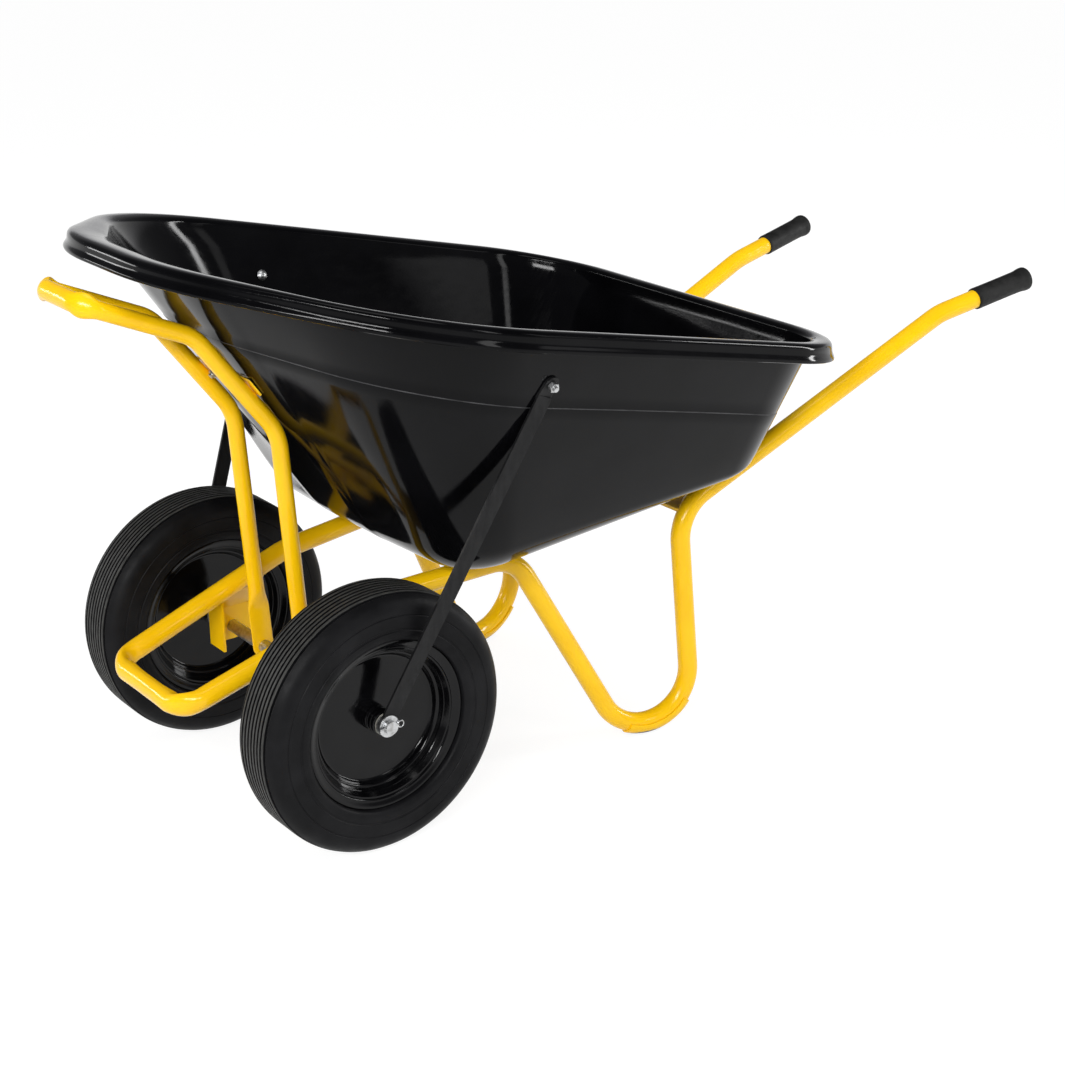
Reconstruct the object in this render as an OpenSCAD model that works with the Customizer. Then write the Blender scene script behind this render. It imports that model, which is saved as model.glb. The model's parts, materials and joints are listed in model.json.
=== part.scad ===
// Two-wheel wheelbarrow: a moulded tray on a bent tube frame, with a tipping hoop at the nose.
// Millimetres, +X towards the nose, +Y to the left, +Z up, ground at Z = 0.

/* [Wheels] */
// Outside diameter of the tyre
wheel_d = 400; // [380:1:440]
// Width of the tyre
tyre_w = 100; // [90:1:110]
// Distance between the middle planes of the two wheels
track = 490; // [480:1:540]
// Diameter of the seat where the tyre sits on the rim
rim_d = 250; // [235:1:260]
// Radius of the tyre's tread shoulder
shoulder_r = 26; // [18:1:32]
// Radius of the tyre's edge at the rim
bead_r = 15; // [10:1:20]
// Thickness of the tyre's sidewall
side_t = 8; // [6:0.5:10]
// Thickness of the tyre under the tread
tread_t = 14; // [11:0.5:17]
// Width of the tyre's bead on the rim
bead_t = 13; // [10:0.5:16]
// Height of the tyre's bead
bead_h = 18; // [15:1:24]
// Number of grooves round the tread
groove_count = 9; // [5:1:11]
// Width of a tread groove
groove_w = 3; // [2:0.5:4]
// Depth of a tread groove
groove_depth = 3.5; // [2:0.5:6]
// Sheet thickness of a pressed rim half
rim_t = 2.5; // [2:0.5:4]
// Height of the rim's edge above the tyre seat
rim_lip = 5; // [4:0.5:8]
// Diameter of the flat middle of the rim
rim_flat_d = 176; // [160:1:184]
// Distance from the wheel's middle plane to the outside of the flat middle
rim_flat_out = 7; // [5:0.5:10]
// Outside diameter of the hub tube
hub_d = 37; // [35:0.5:42]
// Length of the hub tube
hub_len = 66; // [60:1:70]
// Outside diameter of a bush in the hub
bush_d = 27; // [25:0.5:29]
// Length of a bush in the hub
bush_len = 22; // [15:1:24]
// Diameter of the bush's end flange
bush_flange_d = 34; // [31:0.5:36]
// Thickness of the bush's end flange
bush_flange_t = 2; // [1.5:0.5:3]

/* [Axle] */
// Diameter of the axle
axle_d = 20; // [18:0.5:22]
// How far the axle stands out past the last washer
axle_proud = 8; // [7:0.5:12]
// Diameter of the washers beside the hubs
washer_d = 33; // [30:0.5:42]
// Thickness of a washer
washer_t = 2.5; // [2:0.5:3.5]
// Diameter of the split pin
pin_d = 4; // [3:0.5:5]
// Length of the split pin's legs
pin_len = 32; // [28:1:38]
// Outside diameter of the split pin's eye
pin_eye_d = 12; // [11:0.5:14]
// Outside diameter of the spacer tube on the axle
spacer_d = 27; // [25:0.5:32]

/* [Main tube] */
// Outside diameter of the main tube
tube_d = 32; // [30:0.5:34]
// Wall of the main tube
tube_wall = 2; // [1.5:0.5:3]
// Distance from the axle forward to the middle of the nose loop
loop_x = 229; // [215:1:245]
// Height of the nose loop
loop_z = 222; // [210:1:240]
// Half width of the nose loop
loop_y = 103; // [98:1:108]
// Bend radius of the nose loop's corners
loop_r = 40; // [34:1:44]
// Distance from the axle back to the bend in the rail
rail_bend_x = 81; // [70:1:95]
// Height of the bend in the rail
rail_bend_z = 322; // [316:1:328]
// Half width at the bend in the rail
rail_bend_y = 126; // [122:1:132]
// Bend radius in the rail
rail_r = 200; // [150:1:260]
// Distance from the axle back to the top of the front leg
front_leg_x = 325; // [315:1:335]
// Height of the top of the front leg
front_leg_z = 338; // [332:1:344]
// Half width at the top of the front leg
front_leg_y = 154; // [150:1:165]
// Bend radius at the top of the front leg
front_leg_r = 62; // [55:1:75]
// Distance from the axle back to the lowest point of the foot
foot_x = 535; // [525:1:550]
// Half width at the lowest point of the foot
foot_y = 229; // [222:1:236]
// Bend radius of the foot
foot_r = 82; // [75:1:90]
// Distance from the axle back to the top of the rear leg
rear_leg_x = 609; // [600:1:620]
// Height of the top of the rear leg
rear_leg_z = 367; // [360:1:374]
// Half width at the top of the rear leg
rear_leg_y = 217; // [214:1:222]
// Bend radius at the top of the rear leg
rear_leg_r = 80; // [60:1:100]
// Distance from the axle back to the bend in the handle
handle_x = 1164; // [1120:1:1200]
// Height of the bend in the handle
handle_z = 607; // [590:1:625]
// Half width at the bend in the handle
handle_y = 250; // [244:1:262]
// Bend radius in the handle
handle_r = 150; // [100:1:200]
// Distance from the axle back to the end of the handle
handle_end_x = 1352; // [1320:1:1390]
// Height of the end of the handle
handle_end_z = 643; // [630:1:665]
// Half width at the end of the handle
handle_end_y = 272; // [262:1:285]

/* [Grips and feet] */
// Outside diameter of a grip
grip_d = 38; // [36:0.5:42]
// Length of a grip
grip_len = 118; // [105:1:130]
// Thickness of the grip's closed end
grip_end_t = 5; // [3:0.5:8]
// Diameter of the collar round the grip's closed end
grip_collar_d = 41; // [39:0.5:45]
// Thickness of the wear shoe under a foot
shoe_t = 3; // [2:0.5:4]
// How far round the foot's bend the wear shoe goes, in degrees
shoe_angle = 76; // [60:1:90]

/* [Nose hoop] */
// Outside diameter of the hoop tube
hoop_d = 25; // [22:0.5:27]
// Wall of the hoop tube
hoop_wall = 2; // [1.5:0.5:3]
// Half width between the middles of the hoop's two sides
hoop_y = 64; // [60:1:72]
// Bend radius where the hoop meets the tray's front wall
hoop_low_r = 90; // [60:1:110]
// Bend radius where the hoop leaves the tray's front wall
hoop_top_r = 70; // [50:1:90]
// Bend radius of the hoop's front corners
hoop_corner_r = 30; // [26:1:34]
// Distance from the axle forward to the middle of the hoop's front
hoop_front_x = 312; // [300:1:330]
// Height of the middle of the hoop's front
hoop_front_z = 821; // [805:1:840]
// Width of the hoop's flattened ends
hoop_tab_w = 36; // [34:1:42]
// Thickness of the hoop's flattened ends
hoop_tab_t = 6; // [4:0.5:8]
// Length of the hoop's flattened ends above the axle
hoop_tab_len = 62; // [50:1:70]
// Length over which the hoop tube narrows to its flattened end
hoop_taper_len = 26; // [20:1:34]
// Height of the cross plate behind the hoop
plate_h = 30; // [26:1:36]
// Thickness of the cross plate behind the hoop
plate_t = 3; // [2:0.5:5]

/* [Axle brackets and cross bars] */
// Sheet thickness of the axle brackets
bracket_t = 4; // [3:0.5:5]
// Length of an axle bracket along the rail
bracket_len = 78; // [70:1:90]
// Half width to the bracket's outside face
bracket_y = 164; // [160:1:168]
// Material of the bracket below the axle's middle
bracket_below = 22; // [20:1:26]
// Height of the bracket's fold above the axle's middle
bracket_fold = 34; // [28:1:40]
// Distance from the axle back to the rear cross bar
rear_bar_x = 627; // [620:1:634]
// Width of the rear cross bar
bar_w = 44; // [38:1:50]
// Thickness of the rear cross bar
bar_t = 6; // [5:0.5:8]
// Distance from the axle back to the front cross bar
front_bar_x = 268; // [255:1:280]
// Width of the front cross bar
front_bar_w = 40; // [34:1:46]
// Half length of the front cross bar
front_bar_y = 172; // [166:1:180]
// Height that the front cross bar is let down over the rails
front_bar_bite = 4; // [3:0.5:6]
// Length of the spacers between the rear cross bar and the tray's floor
spacer_len = 42; // [38:1:44]
// Outside diameter of the spacers between the rear cross bar and the tray's floor
floor_spacer_d = 18; // [16:0.5:22]

/* [Tray] */
// Wall of the tray
tray_wall = 4; // [3:0.5:5]
// Height of the rim above the axle's place along the barrow
rim_z = 821; // [805:1:835]
// Rise of the rim towards the nose, as a share of the length
rim_rise_share = 0.22; // [0.2:0.01:0.24]
// Distance from the axle forward to the rim's front edge
rim_front_x = 247; // [238:1:256]
// Distance from the axle back to the rim's rear edge
rim_rear_x = 845; // [835:1:860]
// Half width of the rim at the shoulder
rim_shoulder_y = 453; // [442:1:462]
// Half width of the rim towards the rear
rim_rear_y = 424; // [415:1:435]
// Corner radius of the rim's nose
rim_nose_r = 179; // [165:1:190]
// Half width of the straight front of the rim's nose
rim_nose_y = 77; // [70:1:85]
// Corner radius of the rim's shoulders
rim_shoulder_r = 280; // [260:1:300]
// Distance from the axle back to the widest place of the rim
rim_shoulder_x = 122; // [110:1:135]
// Corner radius of the rim's rear corners
rim_rear_r = 190; // [170:1:205]
// Width of the rim's flange
flange_w = 40; // [36:1:44]
// How much wider the rim's flange is at the nose
nose_flange_more = 18; // [12:1:22]
// Height of the rim's turned-down lip
lip_h = 27; // [22:1:32]
// Height of the floor's underside over the front cross bar
floor_z = 371; // [366:1:376]
// Rise of the floor towards the handles, as a share of the length
floor_rise_share = 0.117; // [0.11:0.001:0.122]
// Distance from the axle back to where the front wall meets the floor
floor_front_x = 150; // [140:1:160]
// Distance from the axle back to where the rear wall meets the floor
floor_rear_x = 729; // [722:1:734]
// Half width of the floor at the front
floor_front_y = 269; // [264:1:276]
// Half width of the floor at the rear
floor_rear_y = 288; // [282:1:292]
// Corner radius of the floor's nose
floor_nose_r = 125; // [115:1:135]
// Half width of the straight front of the floor's nose
floor_nose_y = 70; // [62:1:78]
// Corner radius of the floor's shoulders
floor_shoulder_r = 90; // [80:1:100]
// How far the floor's shoulders lie behind the middle of its front
floor_front_bow = 3; // [2:0.5:8]
// Corner radius of the floor's rear corners
floor_rear_r = 88; // [82:1:95]
// How far the rounding between the walls and the floor reaches in over the floor
edge_in = 70; // [66:1:76]
// Height of the rounding between the walls and the floor
edge_up = 54; // [48:1:60]

/* [Stays] */
// Width of a stay strap
strap_w = 25; // [22:1:30]
// Thickness of a stay strap
strap_t = 4; // [3:0.5:5]
// Distance from the axle back to the stay's upper bolt
stay_x = 214; // [200:1:230]
// Drop from the rim to the stay's upper bolt
stay_drop = 76; // [70:1:90]
// Length of the stay's upper end that lies on the tray
stay_seat_len = 40; // [36:1:50]
// Length of the stay's flat lower end past the washers
stay_foot_past = 2; // [1:0.5:10]

/* [Fasteners] */
// Thread diameter of the tray bolts
bolt_d = 8; // [6:0.5:10]
// Diameter of a bolt's domed head
bolt_head_d = 18; // [16:0.5:22]
// Height of a bolt's domed head
bolt_head_h = 5; // [4:0.5:6]
// Width across the flats of a nut
nut_af = 13; // [11:0.5:16]
// Height of a nut
nut_h = 7; // [5:0.5:9]
// How far a bolt stands out past its nut
bolt_proud = 4; // [2:0.5:8]
// Half distance between the floor bolts
floor_bolt_y = 105; // [90:1:120]
// Half distance between the front wall bolts
wall_bolt_y = 34; // [28:1:40]

/* [Hidden] */
// Round pieces are true rounds
$fn = 64;
// Overrun of every cut past the face that it opens
overrun = 2;
// Radial running clearance between the axle and the bushes
running_gap = 0.05;
// Clearance of holes that a shaft, bolt or pin passes through
hole_gap = 0.2;
// Thickness and height of the thin collar at each end of a tube's bend
collar_t = 0.6;
collar_h = 0.1;
// Gap left where one piece is welded to a round neighbour or pressed on it
seat_gap = 0.1;
// Side clearance of a wheel between its washers
side_gap = 0.6;
// Thickness of the tray's floor
floor_t = tray_wall;
yellow = [1, 0.77, 0.02];
black_plastic = [0.03, 0.03, 0.035];
black_paint = [0.05, 0.05, 0.055];
rubber_black = [0.09, 0.09, 0.1];
zinc = [0.78, 0.79, 0.8];
bronze = [0.62, 0.45, 0.25];

// Points along the barrow are measured from the axle, and the origin is under the middle of the length
wheel_r = wheel_d / 2;
wheel_y = track / 2;
tube_r = tube_d / 2;
hoop_r = hoop_d / 2;
grip_axis = unit([handle_x - handle_end_x, handle_end_y - handle_y, handle_end_z - handle_z]);
grip_end = [-handle_end_x, handle_end_y, handle_end_z] + grip_axis * grip_end_t;
rear_reach = -grip_end.x + grip_collar_d / 2 * sqrt(1 - grip_axis.x * grip_axis.x);
front_reach = hoop_front_x + hoop_r;
axle_x = (rear_reach - front_reach) / 2;

function unit(v) = v / norm(v);
function mix(a, b, share) = a + (b - a) * share;
function flip(v) = [v.x, -v.y, v.z];

// Puts a piece given from the axle into the barrow's own frame
module from_axle() translate([axle_x, 0, 0]) children();

// One piece on the left, or its mirror image on the right
module on_side(side) mirror([0, side < 0 ? 1 : 0, 0]) children();

// Straight round bar from point p to point q
module bar(p, q, d) {
    run = q - p;
    translate(p)
        rotate([0, acos(run.z / norm(run)), atan2(run.y, run.x)])
            cylinder(h = norm(run), d = d);
}

// Turn angle at corner b of the path a, b, c, and the length that its bend takes from each side
function turn(a, b, c) = acos(unit(b - a) * unit(c - b));
function setback(a, b, c, r) = r * tan(turn(a, b, c) / 2);

// Moves children from the plane of a bend, where it starts on X and turns towards Y, to corner b
module at_bend(a, b, c, r) {
    along = unit(b - a);
    out = unit(c - b);
    inward = unit(out - along * (out * along));
    axis = cross(along, inward);
    centre = b - along * setback(a, b, c, r) + inward * r;
    multmatrix([[-inward.x, along.x, axis.x, centre.x],
                [-inward.y, along.y, axis.y, centre.y],
                [-inward.z, along.z, axis.z, centre.z],
                [0, 0, 0, 1]])
        children();
}

// Thin collar across the path at point p
module collar(p, along, d) bar(p - along * collar_t / 2, p + along * collar_t / 2, d + 2 * collar_h);

// Round bar along a path of corners, each with its own bend radius and a thin collar at each end of a bend
module bent_bar(path, radii, d) {
    last = len(path) - 1;
    trims = [for (i = [0 : last])
        i == 0 || i == last ? 0 : setback(path[i - 1], path[i], path[i + 1], radii[i])];
    union() {
        for (i = [0 : last - 1]) {
            along = unit(path[i + 1] - path[i]);
            p = path[i] + along * trims[i];
            q = path[i + 1] - along * trims[i + 1];
            bar(p, q, d);
            if (i > 0)
                collar(p, along, d);
            if (i < last - 1)
                collar(q, along, d);
        }
    }
    for (i = [1 : last - 1])
        at_bend(path[i - 1], path[i], path[i + 1], radii[i])
            rotate_extrude(angle = turn(path[i - 1], path[i], path[i + 1]))
                translate([radii[i], 0])
                    circle(d = d);
}
// The same path with both ends moved out by a length
function stretched(path, more) = let (n = len(path) - 1) [for (i = [0 : n])
    i == 0 ? path[0] + unit(path[0] - path[1]) * more :
    i == n ? path[n] + unit(path[n] - path[n - 1]) * more : path[i]];

// Corners of the main tube's left half, from the middle of the nose loop back to the handle's end
loop_mid = [loop_x, seat_gap, loop_z];
loop_corner = [loop_x, loop_y, loop_z];
rail_bend = [-rail_bend_x, rail_bend_y, rail_bend_z];
front_leg_top = [-front_leg_x, front_leg_y, front_leg_z];
rear_leg_top = [-rear_leg_x, rear_leg_y, rear_leg_z];
handle_bend = [-handle_x, handle_y, handle_z];
handle_end = [-handle_end_x, handle_end_y, handle_end_z];

// The foot is a round bend in the plane of the leg tops and the foot's lowest point
foot_low = [-foot_x, foot_y, tube_r + shoe_t];
foot_normal = unit(cross(front_leg_top - foot_low, rear_leg_top - foot_low));
foot_up = unit([0, 0, 1] - foot_normal * foot_normal.z);
foot_fore = cross(foot_up, foot_normal);
foot_centre = foot_low + foot_up * foot_r;
function in_foot(p) = [(p - foot_centre) * foot_fore, (p - foot_centre) * foot_up];
function from_foot(q) = foot_centre + foot_fore * q.x + foot_up * q.y;
// Direction of the line from p that touches the foot's bend, on the side that the sign names
function touch(p, sign) = atan2(-p.y, -p.x) + sign * asin(foot_r / norm(p));
front_2d = in_foot(front_leg_top);
rear_2d = in_foot(rear_leg_top);
front_sign = front_2d.x > rear_2d.x ? 1 : -1;
front_dir = touch(front_2d, front_sign);
rear_dir = touch(rear_2d, -front_sign);
front_vec = [cos(front_dir), sin(front_dir)];
rear_vec = [cos(rear_dir), sin(rear_dir)];
leg_gap = rear_2d - front_2d;
front_run = (leg_gap.x * rear_vec.y - leg_gap.y * rear_vec.x)
    / (front_vec.x * rear_vec.y - front_vec.y * rear_vec.x);
foot_corner = from_foot(front_2d + front_vec * front_run);

main_path = [loop_mid, loop_corner, rail_bend, front_leg_top,
    foot_corner, rear_leg_top, handle_bend, handle_end];
main_radii = [0, loop_r, rail_r, front_leg_r, foot_r, rear_leg_r, handle_r, 0];

// Point of the rail's middle line at a distance along the barrow, ahead of the front leg
function on_line(p, q, x) = mix(p, q, (x - p.x) / (q.x - p.x));
function rail_at(x) =
    x > rail_bend.x ? on_line(loop_corner, rail_bend, x) : on_line(rail_bend, front_leg_top, x);

module main_tube() {
    difference() {
        bent_bar(main_path, main_radii, tube_d);
        bent_bar(stretched(main_path, overrun), main_radii, tube_d - 2 * tube_wall);
    }
}

module left_main_tube() color(yellow) from_axle() main_tube();
module right_main_tube() color(yellow) from_axle() on_side(-1) main_tube();

// Tray

// Heights of the rim and of the floor's underside at a distance along the barrow
function rim_at(x) = rim_z + rim_rise_share * x;
function floor_at(x) = floor_z - floor_rise_share * (x + front_bar_x);
floor_pitch = atan(floor_rise_share);
mid_depth = rim_at(-stay_x) - floor_at(-stay_x);

// Corner circles of the tray's inside at the rim and at the floor: nose, shoulder, rear, each x, y and r
rim_circles = [
    [rim_front_x - rim_nose_r, rim_nose_y, rim_nose_r - flange_w - nose_flange_more],
    [-rim_shoulder_x, rim_shoulder_y - rim_shoulder_r, rim_shoulder_r - flange_w],
    [-rim_rear_x + rim_rear_r, rim_rear_y - rim_rear_r, rim_rear_r - flange_w]];
floor_circles = [
    [-floor_front_x - floor_nose_r, floor_nose_y, floor_nose_r],
    [-floor_front_x - floor_front_bow - floor_shoulder_r, floor_front_y - floor_shoulder_r, floor_shoulder_r],
    [-floor_rear_x + floor_rear_r, floor_rear_y - floor_rear_r, floor_rear_r]];
// Corner circles with their radii let out by a distance, and the nose by some more
function let_out(circles, out, more) =
    [for (i = [0 : len(circles) - 1]) circles[i] + [0, 0, out + (i == 0 ? more : 0)]];
function all_round(c) = [flip(c[0]), c[0], c[1], c[2], flip(c[2]), flip(c[1])];
// Direction of the outward normal on the straight between two corner circles
function straight_dir(p, q) = atan2(q.y - p.y, q.x - p.x)
    - acos((p.z - q.z) / norm([q.x - p.x, q.y - p.y]));
function sweep(from, to) = to < from ? to + 360 - from : to - from;
corner_steps = 9;
side_steps = 3;
function on_corner(c, a) = [c.x + c.z * cos(a), c.y + c.z * sin(a)];
function outline(c) = [for (i = [0 : len(c) - 1])
    let (before = c[(i + len(c) - 1) % len(c)], here = c[i], after = c[(i + 1) % len(c)])
    let (from = straight_dir(before, here), to = straight_dir(here, after), angle = sweep(from, to))
    let (long_side = i == 2 || i == 4)
    each concat(
        [for (k = [0 : corner_steps]) on_corner(here, from + angle * k / corner_steps)],
        [for (k = [1 : 1 : long_side ? side_steps - 1 : 0])
            mix(on_corner(here, to), on_corner(after, to), k / side_steps)])];
// Outlines at the rim and at the floor, let out by a distance
function rim_line(out, more = 0) = [for (p = outline(all_round(let_out(rim_circles, out, more))))
    [p.x, p.y, rim_at(p.x)]];
function floor_line(out) = [for (p = outline(all_round(let_out(floor_circles, out, 0))))
    [p.x, p.y, floor_at(p.x)]];
// One ring of the tray's skin: share of the depth, distance let out, lift above that depth, and what the nose
// is let out more
function ring(depth_share, out, lift, more = 0) =
    let (high = rim_line(out, more), low = floor_line(out))
    [for (i = [0 : len(high) - 1]) mix(high[i], low[i], depth_share) + [0, 0, lift]];

// Section of the rim: shares of the flange's width and the lip's height, and where the skin's back lies,
// as shares of the wall
rim_section_shares = [
    [0, -0.42, 1, 0],
    [0.04, -0.16, 0.85, -0.5],
    [0.16, 0, 0.35, -0.95],
    [0.55, 0.1, 0, -1],
    [0.78, 0.1, -0.2, -1],
    [0.92, -0.04, -0.7, -0.7],
    [1, -0.28, -1, -0.1],
    [1, -0.6, -1, 0],
    [1, -1, -1, 0]];
edge_steps = 6;
edge_share = edge_up / mid_depth;
// Straight stretch of the wall between its two roundings, and how far it lies below the line to the rim
wall_steps = 3;
wall_share = 1 - edge_share;
function wall_lift(depth_share) = rim_section_shares[0][1] * lip_h * (1 - depth_share / wall_share);
function wall_rings(skin) = [for (k = [1 : wall_steps - 1])
    let (depth_share = wall_share * (1 - k / wall_steps))
    ring(depth_share, skin, wall_lift(depth_share))];
// Rings round the edge between floor and wall, from the floor up
function edge_rings(skin, lift) = [for (k = [0 : edge_steps])
    let (a = 90 - 90 * k / edge_steps)
    ring(1 - edge_share * (1 - sin(a)), skin - edge_in * (1 - cos(a)), lift * sin(a))];
inside_rings = concat(
    edge_rings(0, floor_t),
    wall_rings(0),
    [for (s = rim_section_shares) ring(0, s[0] * flange_w, s[1] * lip_h, s[0] * nose_flange_more)]);
outside_rings = concat(
    edge_rings(tray_wall, 0),
    wall_rings(tray_wall),
    [for (s = rim_section_shares)
        ring(0, s[0] * flange_w + s[2] * tray_wall, s[1] * lip_h + s[3] * tray_wall, s[0] * nose_flange_more)]);
skin_rings = concat(inside_rings, [for (i = [len(outside_rings) - 1 : -1 : 0]) outside_rings[i]]);
ring_len = len(skin_rings[0]);
skin_points = [for (r = skin_rings, p = r) p];
skin_faces = concat(
    [[for (k = [ring_len - 1 : -1 : 0]) k]],
    [for (j = [0 : len(skin_rings) - 2], k = [0 : ring_len - 1])
        let (a = j * ring_len + k, b = j * ring_len + (k + 1) % ring_len)
        each [[a, b, b + ring_len], [a, b + ring_len, a + ring_len]]],
    [[for (k = [0 : ring_len - 1]) (len(skin_rings) - 1) * ring_len + k]]);

// Point of the side wall's outside face at a distance along the barrow and a share of the depth
side_start = 3 * (corner_steps + 1) - 1;
function side_wall(x, depth_share) =
    let (high = rim_line(tray_wall), low = floor_line(tray_wall))
    let (front = mix(high[side_start], low[side_start], depth_share))
    let (rear = mix(high[side_start + side_steps], low[side_start + side_steps], depth_share))
    on_line(front, rear, x) + [0, 0, wall_lift(depth_share)];
// The stay's place on the side wall, and the wall's directions there
stay_share = stay_drop / (rim_at(-stay_x) - floor_at(-stay_x));
stay_place = side_wall(-stay_x, stay_share);
stay_fore = unit(side_wall(-stay_x + strap_w, stay_share) - stay_place);
stay_out = unit(cross(stay_fore, side_wall(-stay_x, 2 * stay_share) - stay_place));
stay_down = cross(stay_out, stay_fore);
// Lean from upright of the line from p up to q, given as distance out and height
function lean(p, q) = atan2(q.x - p.x, q.y - p.y);
// Outside face of the front wall on the middle line, as distance along the barrow and height
front_high_x = rim_front_x - flange_w - nose_flange_more + tray_wall;
front_low_x = -floor_front_x + tray_wall;
front_high = [front_high_x, rim_at(front_high_x)];
front_low = [front_low_x, floor_at(front_low_x)];
function front_wall(depth_share) = mix(front_high, front_low, depth_share) + [0, wall_lift(depth_share)];
front_lean = lean(front_wall(wall_share), front_wall(0));
front_out = [cos(front_lean), -sin(front_lean)];
// Shares of the front wall's depth where the hoop bends, and where the plate lies between those two bends
hoop_low_share = 0.52;
hoop_top_share = 0.18;
plate_along_share = 0.42;
plate_gap = 0.6;
plate_share = mix(hoop_low_share, hoop_top_share, plate_along_share);

module tray_shell() {
    difference() {
        polyhedron(points = skin_points, faces = skin_faces, convexity = 6);
        for (side = [1, -1])
            on_side(side) {
                at_stay_bolt() through_hole();
                at_front_floor_bolt() through_hole();
                at_rear_floor_bolt() through_hole();
                at_front_wall_bolt() through_hole();
            }
    }
}
module through_hole() translate([0, 0, -2 * tray_wall]) cylinder(h = 4 * tray_wall, d = bolt_d + 2 * hole_gap);
module tray() color(black_plastic) from_axle() tray_shell();

// Places of the bolts: Z points from the bolt's head to its nut, and Z = 0 is the tray's outside face
module at_stay_bolt()
    multmatrix([[stay_fore.x, stay_down.x, stay_out.x, stay_place.x],
                [stay_fore.y, stay_down.y, stay_out.y, stay_place.y],
                [stay_fore.z, stay_down.z, stay_out.z, stay_place.z],
                [0, 0, 0, 1]])
        children();
module on_floor(x, y) translate([x, y, floor_at(x)]) rotate([0, floor_pitch, 0]) rotate([180, 0, 0]) children();
module at_front_floor_bolt() on_floor(-front_bar_x, floor_bolt_y) children();
module at_rear_floor_bolt() on_floor(-rear_bar_x, floor_bolt_y) children();
module at_front_wall_bolt() {
    place = front_wall(plate_share);
    translate([place.x, wall_bolt_y, place.y]) rotate([0, 90 + front_lean, 0]) children();
}

// Nose hoop

function beside_wall(depth_share, off) = front_wall(depth_share) + front_out * off;
hoop_low_off = hoop_r + seat_gap;
hoop_top_off = hoop_r + (plate_t + 2 * plate_gap) / plate_along_share;
function hoop_point(q) = [q.x, hoop_y, q.y];
hoop_eye = [0, hoop_y, wheel_r];
hoop_low = hoop_point(beside_wall(hoop_low_share, hoop_low_off));
hoop_top = hoop_point(beside_wall(hoop_top_share, hoop_top_off));
hoop_corner = [hoop_front_x, hoop_y, hoop_front_z];
hoop_along = unit(hoop_low - hoop_eye);
hoop_start = hoop_eye + hoop_along * (hoop_tab_len + hoop_taper_len);
hoop_path = [hoop_start, hoop_low, hoop_top, hoop_corner,
    flip(hoop_corner), flip(hoop_top), flip(hoop_low), flip(hoop_start)];
hoop_radii = [0, hoop_low_r, hoop_top_r, hoop_corner_r, hoop_corner_r, hoop_top_r, hoop_low_r, 0];
hoop_lean = atan2(hoop_along.x, hoop_along.z);
slice_t = 0.5;

// Flattened end with its eye on the axle, and the taper up to the round tube
module hoop_end() {
    translate(hoop_eye)
        rotate([0, hoop_lean, 0]) {
            difference() {
                rotate([90, 0, 0])
                    translate([0, 0, -hoop_tab_t / 2])
                        linear_extrude(hoop_tab_t) {
                            circle(d = hoop_tab_w);
                            translate([-hoop_tab_w / 2, 0]) square([hoop_tab_w, hoop_tab_len]);
                        }
                rotate([90, 0, 0])
                    translate([0, 0, -hoop_tab_t])
                        cylinder(h = 2 * hoop_tab_t, d = axle_d + 2 * hole_gap);
            }
            hull() {
                translate([-hoop_tab_w / 2, -hoop_tab_t / 2, hoop_tab_len])
                    cube([hoop_tab_w, hoop_tab_t, slice_t]);
                translate([0, 0, hoop_tab_len + hoop_taper_len - slice_t])
                    cylinder(h = slice_t, d = hoop_d, $fn = 32);
            }
        }
}
module hoop_body() {
    difference() {
        union() {
            bent_bar(hoop_path, hoop_radii, hoop_d);
            for (side = [1, -1])
                on_side(side) collar(hoop_start, hoop_along, hoop_d);
        }
        bent_bar(stretched(hoop_path, -overrun), hoop_radii, hoop_d - 2 * hoop_wall);
    }
    for (side = [1, -1])
        on_side(side) hoop_end();
}
module nose_hoop() color(yellow) from_axle() hoop_body();

// Flat plate welded across the back of the hoop and bolted to the tray's front wall
module hoop_cross_plate() color(yellow) from_axle() {
    place = beside_wall(plate_share, plate_gap);
    hoop_slope = lean([hoop_low.x, hoop_low.z], [hoop_top.x, hoop_top.z]);
    difference() {
        translate([place.x, 0, place.y])
            rotate([0, (front_lean + hoop_slope) / 2, 0])
                translate([0, -hoop_y - hoop_r, -plate_h / 2])
                    cube([plate_t, 2 * (hoop_y + hoop_r), plate_h]);
        for (side = [1, -1])
            on_side(side) at_front_wall_bolt() through_hole();
    }
}

// Flat bar welded between the tops of the rear legs, below the tray's floor and square to its bolts
rear_bar_drop = spacer_len + 2 * seat_gap;
module rear_cross_bar() color(yellow) from_axle() {
    difference() {
        on_floor(-rear_bar_x, 0)
            translate([-bar_w / 2, -rear_leg_y, rear_bar_drop])
                cube([bar_w, 2 * rear_leg_y, bar_t]);
        for (side = [1, -1])
            on_side(side) {
                at_rear_floor_bolt()
                    translate([0, 0, rear_bar_drop - overrun])
                        cylinder(h = bar_t + 2 * overrun, d = bolt_d + 2 * hole_gap);
                bent_bar([foot_corner, rear_leg_top, handle_bend], [0, rear_leg_r, 0], tube_d + 2 * seat_gap);
                translate([-rear_bar_x - bar_w, rear_leg_y - seat_gap, rear_leg_z - tube_d])
                    cube([2 * bar_w, tube_d, 2 * tube_d]);
            }
    }
}

// Tubes between the rear cross bar and the tray's floor
module rear_floor_spacers() color(zinc) from_axle()
    for (side = [1, -1])
        on_side(side)
            at_rear_floor_bolt()
                translate([0, 0, seat_gap])
                    difference() {
                        cylinder(h = spacer_len, d = floor_spacer_d);
                        translate([0, 0, -overrun])
                            cylinder(h = spacer_len + 2 * overrun, d = bolt_d + 2 * hole_gap);
                    }

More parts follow.
